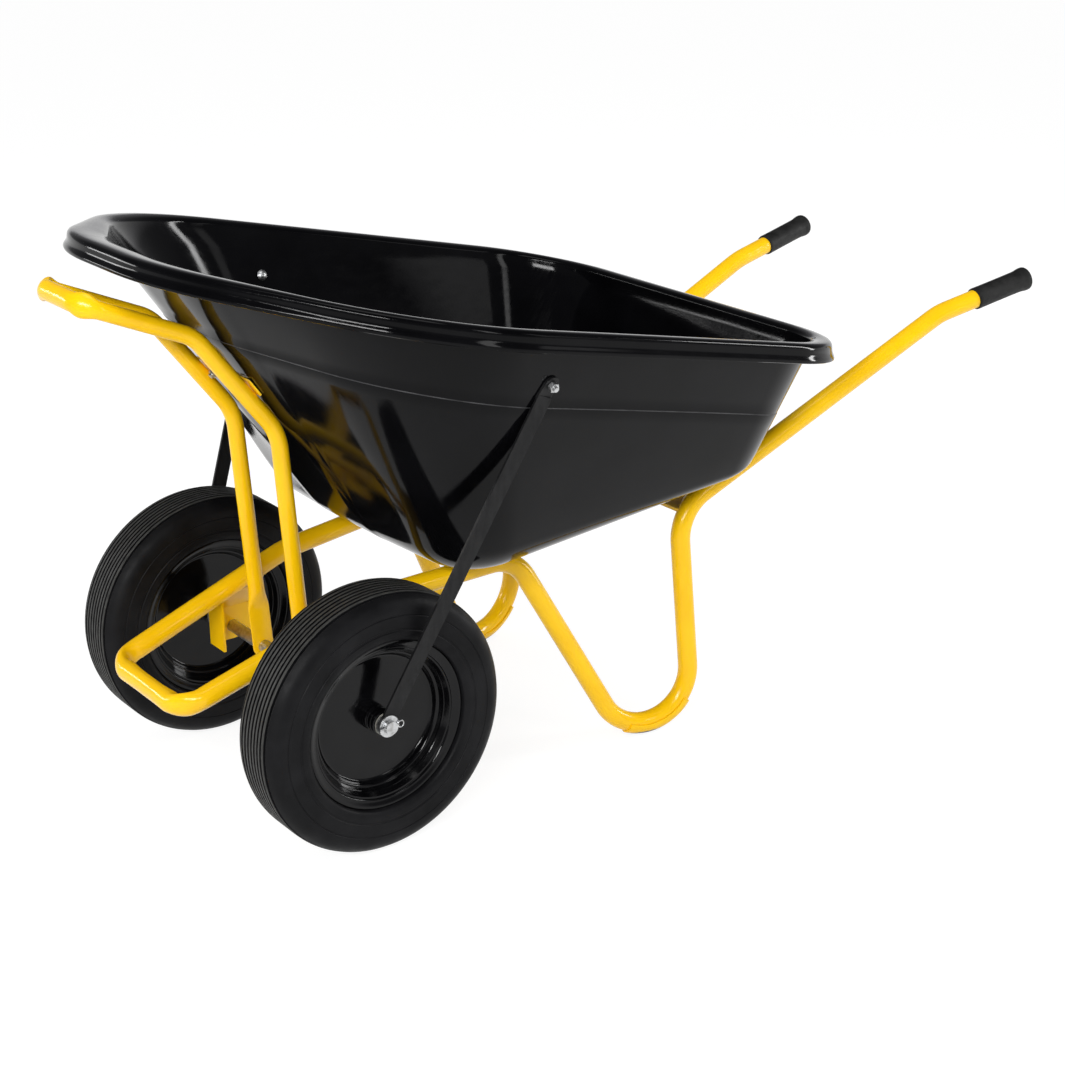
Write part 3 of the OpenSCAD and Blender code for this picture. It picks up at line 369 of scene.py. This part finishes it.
# Cross members: plate behind the hoop, box bar and flat bar under the tray, and two folded axle brackets.
# They are steel, welded to the tubes and coated with them.
def dress(names, material):
    """Gives construction pieces a finish."""
    for name in names:
        finishes = frame["nodes"][name].data.materials
        finishes.clear()
        finishes.append(material)


dress(["hoop_cross_plate", "front_cross_bar", "rear_cross_bar", "rear_floor_spacers", "left_axle_bracket",
       "right_axle_bracket"], yellow)

# Axle and its small steel pieces: axle bar, spacers, washers, bolts and nuts, all bright zinc plated.
# They are turned or cold headed, with cloudy patches in the plating and a fine turned grain.
zinc_light = (0.62, 0.63, 0.64, 1)
zinc_dark = (0.38, 0.38, 0.37, 1)
zinc = mottled_finish(
    "bright_zinc", shine=0.5, metal=1.0,
    tones=[(0.3, zinc_dark), (0.62, zinc_light)], patches=dict(scale=160, detail=5),
    rough=(0.3, 0.5), rough_grain=dict(scale=500, detail=3),
    relief=[(dict(scale=1500, detail=2), 0.04 * MM)])
dress(["axle", "left_axle_spacer", "right_axle_spacer", "axle_washers", "split_pins", "stay_bolts",
       "stay_nuts", "floor_bolts", "floor_nuts", "front_wall_bolts", "front_wall_nuts"], zinc)

# Tray: one deep tub moulded in glossy black plastic, with sloping walls, a rounded floor edge and a rolled
# rim. A fine draw line runs round the walls below the rim, where the two parts of the mould met.
# Its sizes are in millimetres, with places measured forward of the axle.
tray_wall = 4
rim_z = 821
rim_rise = 0.22
floor_z = 371
floor_rise = 0.117
floor_front_x = -268
depth_x = -214
flange_w = 39.5
nose_flange_more = 25
lip_h = 27
edge_in = 70
edge_up = 54
edge_steps = 14
wall_steps = 12
# The draw line: its drop below the rim, how far the wall below it stands out, where the step starts and
# ends, and how far from it the plain walls take over, as a distance and as shares of the depth
draw_line_drop = 123
draw_line_step = 0.8
draw_line_under = 1
draw_line_over = 0.6
draw_line_margin = 20
low_wall_share = 0.55
high_wall_share = 0.2
floor_shares = (0.004, 0.35, 0.7, 0.97)
tray_corner_steps = 22
tray_side_steps = 10
# Corner circles of the inside, nose, shoulder and rear: distance forward, distance out and radius
rim_circles = [(-53.5, 40, 242.5), (-143, 133, 280), (-655, 234, 150)]
floor_circles = [(-275, 70, 125), (-243, 179, 90), (-641, 200, 88)]
# Section of the rim: shares of the flange's width and of the lip's height, over the top and down the lip
rim_over_shares = [(0, -0.42), (0.012, -0.25), (0.05, -0.12), (0.12, -0.03), (0.25, 0.03), (0.42, 0.075),
                   (0.56, 0.085), (0.69, 0.07), (0.79, 0.03), (0.85, -0.05), (0.883, -0.16), (0.896, -0.3),
                   (0.903, -0.42), (0.914, -0.53), (0.935, -0.62), (0.962, -0.71), (0.985, -0.8),
                   (0.996, -0.88), (0.985, -0.97)]
rim_under_shares = [(0.95, -1), (0.915, -0.97), (0.89, -0.85), (0.855, -0.68), (0.825, -0.52), (0.81, -0.32),
                    (0.765, -0.15), (0.64, -0.07), (0.45, -0.07), (0.24, -0.1), (0.15, -0.18), (0.11, -0.3)]
wall_top_lift = rim_over_shares[0][1] * lip_h


def rim_at(x):
    """Height of the rim at a place along the barrow."""
    return rim_z + rim_rise * x


def floor_at(x):
    """Height of the floor's underside at a place along the barrow."""
    return floor_z - floor_rise * (x - floor_front_x)


edge_depth = edge_up / (rim_at(depth_x) - floor_at(depth_x))


def tray_outline(circles, out, more=0):
    """Outline round the corner circles, let out by a distance, and the nose by some more."""
    nose = (circles[0][0], circles[0][1], circles[0][2] + more)
    shoulder, rear = circles[1:]
    rounds = [(x, side * y, r + out) for side, (x, y, r) in
              [(-1, nose), (1, nose), (1, shoulder), (1, rear), (-1, rear), (-1, shoulder)]]

    def straight_way(p, q):
        return math.atan2(q[1] - p[1], q[0] - p[0]) - math.acos((p[2] - q[2]) / math.dist(p[:2], q[:2]))

    def on_corner(c, angle):
        return Vector((c[0] + c[2] * math.cos(angle), c[1] + c[2] * math.sin(angle)))

    points = []
    for i, here in enumerate(rounds):
        start = straight_way(rounds[i - 1], here)
        after = rounds[(i + 1) % len(rounds)]
        end = straight_way(here, after)
        sweep = (end - start) % (2 * math.pi)
        points += [on_corner(here, start + sweep * k / tray_corner_steps)
                   for k in range(tray_corner_steps + 1)]
        points += [on_corner(here, end).lerp(on_corner(after, end), k / tray_side_steps)
                   for k in range(1, tray_side_steps)]
    return points


def wall_lift(depth):
    """How far the straight wall lies from the line to the rim, at a share of the depth."""
    return wall_top_lift * (1 - depth / (1 - edge_depth))


def tray_ring(depth, out, lift, more=0, drop=None):
    """Ring of the tray's skin at a share of its depth, or at a drop from the rim, let out and lifted."""
    ring = []
    for high, low in zip(tray_outline(rim_circles, out, more), tray_outline(floor_circles, out)):
        top = Vector((high.x, high.y, rim_at(high.x)))
        foot = Vector((low.x, low.y, floor_at(low.x)))
        if drop is not None:
            depth = (drop + wall_top_lift) / (top.z - foot.z + wall_top_lift / (1 - edge_depth))
            lift = wall_lift(depth)
        point = top.lerp(foot, depth)
        ring.append(from_axle(point.x, point.y, point.z + lift))
    return ring


def skin_rings(out, lift, wall_depths, step):
    """Rings of one skin, from the floor's middle up round its edge, and up the wall let out by a step."""
    edge = []
    for k in range(edge_steps + 1):
        a = math.pi / 2 * (1 - k / edge_steps)
        edge.append(tray_ring(1 - edge_depth * (1 - math.sin(a)), out - edge_in * (1 - math.cos(a)),
                              lift * math.sin(a)))
    middle = sum(edge[0], Vector()) / len(edge[0])
    floor = [[middle.lerp(p, share) for p in edge[0]] for share in floor_shares]
    walls = [tray_ring(depth, out + step, wall_lift(depth)) for depth in wall_depths]
    return floor + edge + walls


wall_depths = [(1 - edge_depth) * (1 - k / wall_steps) for k in range(1, wall_steps)]
low_wall = [depth for depth in wall_depths if depth > low_wall_share]
high_wall = [depth for depth in wall_depths if depth < high_wall_share]
draw_line = [(draw_line_step, draw_line_margin), (draw_line_step, draw_line_under), (0, -draw_line_over),
             (0, -draw_line_margin)]
inside = skin_rings(0, tray_wall, wall_depths, 0)
outside = skin_rings(tray_wall, 0, low_wall, draw_line_step)
outside += [tray_ring(0, tray_wall + step, 0, drop=draw_line_drop + down) for step, down in draw_line]
outside += [tray_ring(depth, tray_wall, wall_lift(depth)) for depth in high_wall]
rim = [tray_ring(0, wide * flange_w, high * lip_h, wide * nose_flange_more)
       for wide, high in rim_over_shares + rim_under_shares]
tub = rings_piece("moulded_tub", inside + rim + outside[::-1])

# The skin has gentle waves, fine scuffs and a little dust, and the draw line was trimmed to a dull grey
tub_dark = (0.0012, 0.0012, 0.0015, 1)
tub_light = (0.0030, 0.0030, 0.0036, 1)
trim_dark = (0.006, 0.006, 0.007, 1)
trim_light = (0.06, 0.06, 0.063, 1)
tub.data.materials.append(mottled_finish(
    "glossy_black_moulding", shine=0.12,
    tones=[(0.35, tub_dark), (0.7, tub_light)], patches=dict(scale=9, detail=5),
    rough=(0.05, 0.13), rough_grain=dict(scale=35, detail=8, stretch=(1, 6, 1)),
    relief=[(dict(scale=5, detail=1), 2.2 * MM), (dict(scale=900, detail=2), 0.02 * MM)]))
tub.data.materials.append(mottled_finish(
    "trimmed_draw_line", shine=0.4,
    tones=[(0.35, trim_dark), (0.75, trim_light)], patches=dict(scale=25, detail=6),
    rough=(0.4, 0.6), rough_grain=dict(scale=80, detail=3)))
ledge = len(inside) + len(rim) + len(high_wall) + 1
ring_size = len(inside[0])
for k in range(ledge * ring_size, (ledge + 1) * ring_size):
    tub.data.polygons[k].material_index = 1
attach(tub, "frame")
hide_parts("tray")

# Stay straps: flat steel bars of 25 by 4 mm from the axle's ends to the tray's sides, painted satin black.
# The paint is thin, a little greyer in brushed streaks along the bar.
strap_dark = (0.004, 0.004, 0.0045, 1)
strap_light = (0.012, 0.012, 0.0125, 1)
satin_black = mottled_finish(
    "satin_black_paint", shine=0.2,
    tones=[(0.35, strap_dark), (0.75, strap_light)], patches=dict(scale=120, detail=6, stretch=(1, 1, 0.12)),
    rough=(0.42, 0.58), rough_grain=dict(scale=200, detail=4),
    relief=[(dict(scale=700, detail=3), 0.08 * MM)])
dress(["left_stay_strap", "right_stay_strap"], satin_black)

# Wheels: pressed steel rims in gloss black, each with three steps down to a deep flat dish, and a ringed hub
# tube. The tyres are black rubber with a ribbed tread and a plain sidewall.
# Their sizes are in millimetres, with places measured out from the wheel's middle plane.
wheel_r = 200
tyre_half = 50
shoulder_r = 26
shoulder_arc = math.radians(48)
shoulder_steps = 7
rib_count = 9
rib_pitch = (2 * tyre_half - shoulder_r) / rib_count
groove_w = 4
groove_depth = 4.5
groove_draft = 0.35
rib_edge_w = 0.5
rib_edge_drop = 0.4
rib_top_drop = 0.5
ribbed_half = tyre_half - shoulder_r / 3
bead_seat_r = 125
bead_half = 35
bead_edge = 1
wheel_segments = 144
hub_segments = 64
# Sidewall from the bead up: rolled edge over the rim, a sunk ring and a fine line; radius and distance out
sidewall = [(bead_seat_r, bead_half - bead_edge), (130.3, bead_half), (130.6, 43.5), (132, 46.6),
            (135.5, 48.8), (141, 49.9), (146, 49.9), (147, 49.0), (149.5, 49.0), (150.5, tyre_half),
            (160, tyre_half), (168.6, tyre_half), (169.4, 49.2), (170.2, 49.2), (171, tyre_half)]


def turned_piece(name, profile, centre, side, segments):
    """Piece turned about the axle's line from a closed profile of radius and distance out."""
    rings = []
    for k in range(segments):
        angle = 2 * math.pi * k / segments
        rings.append([centre + Vector((r * MM * math.cos(angle), side * y * MM, r * MM * math.sin(angle)))
                      for r, y in profile])
    if side > 0:
        rings.reverse()
    return rings_piece(name, rings, closed=True)


def softened(points, passes):
    """Corner cutting, which rounds a profile and keeps its two ends."""
    near = 0.75
    far = 1 - near
    for _ in range(passes):
        cut = [points[0]]
        for (r0, y0), (r1, y1) in zip(points, points[1:]):
            cut.append((near * r0 + far * r1, near * y0 + far * y1))
            cut.append((far * r0 + near * r1, far * y0 + near * y1))
        points = cut + [points[-1]]
    return points


def tread_radius(y):
    """Radius of the tyre's crown and shoulders at a distance from the wheel's middle plane."""
    over = abs(y) - (tyre_half - shoulder_r)
    if over <= 0:
        return wheel_r
    return wheel_r - shoulder_r + math.sqrt(max(0, shoulder_r ** 2 - over ** 2))


def tyre_outline():
    """One side's sidewall, then the ribbed crown, then the other sidewall and the bead seat."""
    shoulder = []
    for k in range(shoulder_steps):
        angle = shoulder_arc * k / (shoulder_steps - 1)
        shoulder.append((wheel_r - shoulder_r + shoulder_r * math.sin(angle),
                         tyre_half - shoulder_r + shoulder_r * math.cos(angle)))
    ribs = []
    half = groove_w / 2
    groove_side = [(half + rib_edge_w, 0), (half, rib_edge_drop), (half - groove_draft, groove_depth)]
    for i in range(rib_count):
        middle = (rib_count - 1) / 2 * rib_pitch - i * rib_pitch
        groove = [(middle + off, deep) for off, deep in groove_side]
        groove += [(middle - off, deep) for off, deep in reversed(groove_side)]
        ribs += [(tread_radius(y) - deep, y) for y, deep in groove]
    near_half = sidewall + shoulder
    return near_half + ribs + [(r, -y) for r, y in reversed(near_half)]


def on_rib_top(start, end):
    """Whether a stretch of the tyre's outline runs along the top of a rib."""
    drop = max(tread_radius(y) - r for r, y in (start, end))
    return drop < rib_top_drop and max(abs(start[1]), abs(end[1])) < ribbed_half


# Outside of a rim half from its edge down three steps to the flat dish, and its back; radius and distance out
rim_face = softened([(126, 38.2), (130, 40), (127, 40.6), (119.5, 37.2), (116.5, 36.6), (114, 31),
                     (112.5, 27.5), (109, 27), (106.5, 21.5), (105, 18), (101.5, 17.4), (99, 11.5),
                     (96.5, 8), (92, 7), (60, 7), (19.5, 7)], 2)
rim_back = [(19.5, 4.5), (60, 4.5), (93, 4.5), (98.5, 6.5), (103, 15), (108, 24.5), (113, 33.5), (118, 34.5),
            (120, 20), (120, 0.2), (124.9, 0.2), (124.9, 35)]
hub_bore_r = 13.6
hub_half = 33
hub_low_r = 16.4
hub_middle_r = 19.2
hub_middle_half = 11
band_r = 20
band_edge_r = 19.9
band_half = 1.6
band_foot_half = 1.9
band_places = [31, 23, 15]


def hub_band(place):
    """Raised ring round the hub tube at a distance out."""
    return softened([(hub_low_r, place + band_foot_half), (band_edge_r, place + band_half), (band_r, place),
                     (band_edge_r, place - band_half), (hub_low_r, place - band_foot_half)], 1)


hub_outline = [(hub_bore_r, -hub_half), (hub_bore_r, hub_half), (hub_low_r, hub_half)]
for place in band_places:
    hub_outline += hub_band(place)
hub_outline += [(hub_middle_r, hub_middle_half), (hub_middle_r, -hub_middle_half)]
for place in reversed(band_places):
    hub_outline += hub_band(-place)
hub_outline += [(hub_low_r, -hub_half)]

# Dull rubber with dust in its low places, rib tops painted lighter as a highlight along the ribs with a
# little scuffing from the ground, and stove paint on the rims
rubber_dark = (0.0025, 0.0025, 0.003, 1)
rubber_light = (0.008, 0.008, 0.009, 1)
# Rib top tones: a lighter rubber that paints a highlight along each rib, with a little scuffing
rib_highlight_dark = (0.022, 0.022, 0.021, 1)
rib_highlight_light = (0.055, 0.055, 0.052, 1)
gloss_dark = (0.0012, 0.0012, 0.0015, 1)
gloss_light = (0.0035, 0.0035, 0.004, 1)
tyre_rubber = mottled_finish(
    "tyre_rubber", shine=0.11,
    tones=[(0.3, rubber_dark), (0.7, rubber_light)], patches=dict(scale=18, detail=6),
    rough=(0.4, 0.56), rough_grain=dict(scale=40, detail=4),
    relief=[(dict(scale=1100, detail=3), 0.1 * MM), (dict(scale=90, detail=2), 0.25 * MM)])
rib_highlight_rubber = mottled_finish(
    "rib_top_painted_highlight", shine=0.2,
    tones=[(0.3, rib_highlight_dark), (0.7, rib_highlight_light)], patches=dict(scale=70, detail=6, stretch=(1, 5, 1)),
    rough=(0.45, 0.62), rough_grain=dict(scale=60, detail=4),
    relief=[(dict(scale=1100, detail=3), 0.12 * MM)])
gloss_black = mottled_finish(
    "gloss_black_paint", shine=0.22,
    tones=[(0.35, gloss_dark), (0.7, gloss_light)], patches=dict(scale=25, detail=4),
    rough=(0.08, 0.17), rough_grain=dict(scale=50, detail=4),
    relief=[(dict(scale=260, detail=2), 0.06 * MM), (dict(scale=22, detail=1), 0.4 * MM)])

tyre_profile = tyre_outline()
for name, joint in (("left", frame["joints"][0]), ("right", frame["joints"][1])):
    centre = Vector(joint["pos_m"])
    side = 1 if centre.y > 0 else -1
    tyre = turned_piece(name + "_ribbed_tyre", tyre_profile, centre, side, wheel_segments)
    tyre.data.materials.append(tyre_rubber)
    tyre.data.materials.append(rib_highlight_rubber)
    # Rib tops take the lighter rubber: a painted highlight along each rib, with some scuffing
    for k, face in enumerate(tyre.data.polygons):
        start = tyre_profile[k % len(tyre_profile)]
        if on_rib_top(start, tyre_profile[(k + 1) % len(tyre_profile)]):
            face.material_index = 1
    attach(tyre, name + "_wheel")
    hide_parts(name + "_tyre")
    for half, facing in (("outer", side), ("inner", -side)):
        pressing = turned_piece(name + "_" + half + "_pressing", rim_face + rim_back, centre, facing,
                                wheel_segments)
        pressing.data.materials.append(gloss_black)
        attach(pressing, name + "_wheel")
        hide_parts(name + "_rim_" + half + "_half")
    hub = turned_piece(name + "_ringed_hub", hub_outline, centre, side, hub_segments)
    hub.data.materials.append(gloss_black)
    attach(hub, name + "_wheel")
    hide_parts(name + "_hub")

# Hub bushes: short flanged sleeves of natural nylon pressed into each end of the hub, which run on the axle.
# Only the flanges show, beside the washers. The off-white nylon is dulled by grease.
nylon_dark = (0.10, 0.095, 0.085, 1)
nylon_light = (0.36, 0.35, 0.31, 1)
natural_nylon = mottled_finish(
    "natural_nylon", shine=0.4,
    tones=[(0.35, nylon_dark), (0.7, nylon_light)], patches=dict(scale=120, detail=5),
    rough=(0.35, 0.55), rough_grain=dict(scale=300, detail=3))
dress(["left_hub_bushes", "right_hub_bushes"], natural_nylon)

# Grips: black rubber sleeves pushed over the handle ends, slightly flared, with a collar round the closed
# end. Their skin is dull, with a fine moulded stipple and a greyer bloom.
grip_sides = 48
# Radius and distance past the handle's end, in millimetres
grip_profile = softened([(16.2, -113), (18.2, -113), (19, -110), (18.6, -100), (18.6, -30), (18.9, -12),
                         (20.2, -5), (20.5, -2), (20.5, 3.5), (19.4, 5), (10, 5), (0.4, 5)], 2)
grip_dark = (0.008, 0.008, 0.008, 1)
grip_light = (0.020, 0.020, 0.0195, 1)
grip_rubber = mottled_finish(
    "grip_rubber", shine=0.2,
    tones=[(0.35, grip_dark), (0.75, grip_light)], patches=dict(scale=60, detail=6),
    rough=(0.5, 0.66), rough_grain=dict(scale=150, detail=4),
    relief=[(dict(scale=1400, detail=2), 0.18 * MM)])
for side, node in ((1, "left_grip"), (-1, "right_grip")):
    along = on_side((handle_end - handle_bend).normalized(), side)
    end = on_side(handle_end, side)
    up = along.orthogonal().normalized()
    across = along.cross(up)
    spokes = []
    for k in range(grip_sides):
        angle = 2 * math.pi * k / grip_sides
        spokes.append(up * math.cos(angle) + across * math.sin(angle))
    rings = [[end + along * y * MM + spoke * r * MM for spoke in spokes] for r, y in grip_profile]
    grip = rings_piece(node.replace("grip", "rubber_grip"), rings)
    grip.data.materials.append(grip_rubber)
    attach(grip, "frame")
    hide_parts(node)

# Foot shoes: half sleeves of steel welded under the bends of the feet, coated yellow.
# The coat is dark in a ragged band near the ground, up to about 6 mm high.
# Dark tone that the coat takes near the ground
near_ground_dark = (0.012, 0.011, 0.010, 1)
# Heights between which the coat turns dark, and how far its ragged edge wanders
dark_band_low = 5.5 * MM
dark_band_high = 6.5 * MM
dark_band_rag = 4 * MM


def coat_dark_near_ground():
    """Yellow coat that ends in a ragged dark patch near the ground."""
    material, nodes, links, shader = new_finish("yellow_coat_dark_near_ground", shine=0.25)
    place = nodes.new("ShaderNodeTexCoord")
    axes = nodes.new("ShaderNodeSeparateXYZ")
    links.new(place.outputs["Object"], axes.inputs["Vector"])
    ragged = nodes.new("ShaderNodeMath")
    ragged.operation = "MULTIPLY_ADD"
    links.new(noise(nodes, links, scale=240, detail=4), ragged.inputs[0])
    ragged.inputs[1].default_value = -dark_band_rag
    links.new(axes.outputs["Z"], ragged.inputs[2])
    # The coat goes dark below a ragged height just above the ground
    darkening = span(nodes, links, ragged.outputs["Value"], (dark_band_low, dark_band_high), 0, 1)
    links.new(ramp(nodes, links, darkening, [(0.2, near_ground_dark), (0.8, yellow_base)]), shader.inputs["Base Color"])
    add_surface(nodes, links, shader, rough=(0.26, 0.4), rough_grain=dict(scale=60, detail=2),
                relief=[(dict(scale=420, detail=2), 0.12 * MM)])
    return material


dress(["left_foot_shoe", "right_foot_shoe"], coat_dark_near_ground())

# Studio: a plain pale floor, a soft box overhead, a bright box in front, a strip behind and a panel on the
# far side, with two dim ones on the camera's side that the tub's inside mirrors as soft bands.
# The camera stands in front of the left wheel, a little above the tray.
floor_half = 30
floor_white = (0.82, 0.82, 0.82, 1)
glow_strength = 1.2
glow_share = 0.72
# The room by height: white at the horizon and dim above, with an even fill for matt surfaces
room_stops = [(0.0, (1, 1, 1, 1)), (0.05, (0.85, 0.85, 0.87, 1)), (0.12, (0.25, 0.25, 0.26, 1)),
              (0.5, (0.08, 0.08, 0.085, 1))]
room_fill = (0.52, 0.52, 0.52, 1)
mesh = bpy.data.meshes.new("studio_floor")
mesh.from_pydata([(-floor_half, -floor_half, 0), (floor_half, -floor_half, 0), (floor_half, floor_half, 0),
                  (-floor_half, floor_half, 0)], [], [(0, 1, 2, 3)])
studio_floor = bpy.data.objects.new("studio_floor", mesh)
bpy.context.scene.collection.objects.link(studio_floor)


def seen_by(nodes, links):
    """1 for rays that show the background: from the camera, off gloss or through glass."""
    path = nodes.new("ShaderNodeLightPath")
    total = path.outputs["Is Camera Ray"]
    for ray in ("Is Glossy Ray", "Is Transmission Ray"):
        either = nodes.new("ShaderNodeMath")
        either.operation = "MAXIMUM"
        links.new(total, either.inputs[0])
        links.new(path.outputs[ray], either.inputs[1])
        total = either.outputs["Value"]
    return total


def pale_floor():
    """Matt white floor that stays white to the eye and keeps a soft shadow."""
    material = bpy.data.materials.new("pale_floor")
    material.use_nodes = True
    nodes = material.node_tree.nodes
    links = material.node_tree.links
    nodes.clear()
    out = nodes.new("ShaderNodeOutputMaterial")
    matt = nodes.new("ShaderNodeBsdfDiffuse")
    matt.inputs["Color"].default_value = floor_white
    glow = nodes.new("ShaderNodeEmission")
    glow.inputs["Color"].default_value = (1, 1, 1, 1)
    glow.inputs["Strength"].default_value = glow_strength
    share = nodes.new("ShaderNodeMath")
    share.operation = "MULTIPLY"
    share.inputs[1].default_value = glow_share
    links.new(seen_by(nodes, links), share.inputs[0])
    mix = nodes.new("ShaderNodeMixShader")
    links.new(share.outputs["Value"], mix.inputs["Fac"])
    links.new(matt.outputs["BSDF"], mix.inputs[1])
    links.new(glow.outputs["Emission"], mix.inputs[2])
    links.new(mix.outputs["Shader"], out.inputs["Surface"])
    return material


studio_floor.data.materials.append(pale_floor())

world = bpy.data.worlds.new("studio")
bpy.context.scene.world = world
world.use_nodes = True
nodes = world.node_tree.nodes
links = world.node_tree.links
sky = nodes["Background"]
place = nodes.new("ShaderNodeTexCoord")
axes = nodes.new("ShaderNodeSeparateXYZ")
links.new(place.outputs["Generated"], axes.inputs["Vector"])
dim_room = ramp(nodes, links, axes.outputs["Z"], room_stops)
path = nodes.new("ShaderNodeLightPath")
fill = nodes.new("ShaderNodeMix")
fill.data_type = "RGBA"
links.new(path.outputs["Is Diffuse Ray"], fill.inputs["Factor"])
links.new(dim_room, fill.inputs["A"])
fill.inputs["B"].default_value = room_fill
links.new(fill.outputs["Result"], sky.inputs["Color"])
sky.inputs["Strength"].default_value = 1.0


def soft_box(name, place, target, width, height, power):
    """Area lamp facing a point."""
    lamp = bpy.data.lights.new(name, "AREA")
    lamp.shape = "RECTANGLE"
    lamp.size = width
    lamp.size_y = height
    lamp.energy = power
    holder = bpy.data.objects.new(name, lamp)
    holder.location = place
    holder.rotation_euler = (Vector(place) - Vector(target)).to_track_quat("Z", "Y").to_euler()
    bpy.context.scene.collection.objects.link(holder)


tub_middle = (-0.2, 0, 0.7)
soft_box("overhead_box", place=(0.3, 0.5, 3.4), target=(0.1, 0, 0.4), width=1.9, height=1.6, power=20)
soft_box("rear_strip", place=(-4.0, 1.75, 1.6), target=(0, 0, 0.7), width=0.4, height=2.2, power=70)
soft_box("front_box", place=(3.3, 2.5, 2.4), target=(0.1, 0, 0.5), width=2.4, height=0.45, power=120)
soft_box("far_panel", place=(3.2, -3.2, 1.4), target=tub_middle, width=1.6, height=0.5, power=34)
soft_box("side_panel", place=(-2.5, 2.5, 2.2), target=tub_middle, width=0.5, height=1.3, power=2.5)
soft_box("side_strip", place=(-0.9, 4.0, 2.3), target=tub_middle, width=0.6, height=1.4, power=14)

camera_place = from_axle(1358.3, 2398.3, 1471.4)
view_azimuth = math.radians(142.07)
view_elevation = math.radians(21.43)
camera_data = bpy.data.cameras.new("camera")
camera_data.lens = 66.08
camera_data.sensor_width = 36
camera_data.shift_x = -0.0135
camera_data.shift_y = 0.0041
camera = bpy.data.objects.new("camera", camera_data)
bpy.context.scene.collection.objects.link(camera)
bpy.context.scene.camera = camera
level = math.cos(view_elevation)
back = Vector((math.sin(view_azimuth) * level, -math.cos(view_azimuth) * level, math.sin(view_elevation)))
right = Vector((math.cos(view_azimuth), math.sin(view_azimuth), 0))
camera.matrix_world = Matrix((right, back.cross(right), back)).transposed().to_4x4()
camera.location = camera_place
bpy.context.scene.view_settings.view_transform = "Standard"
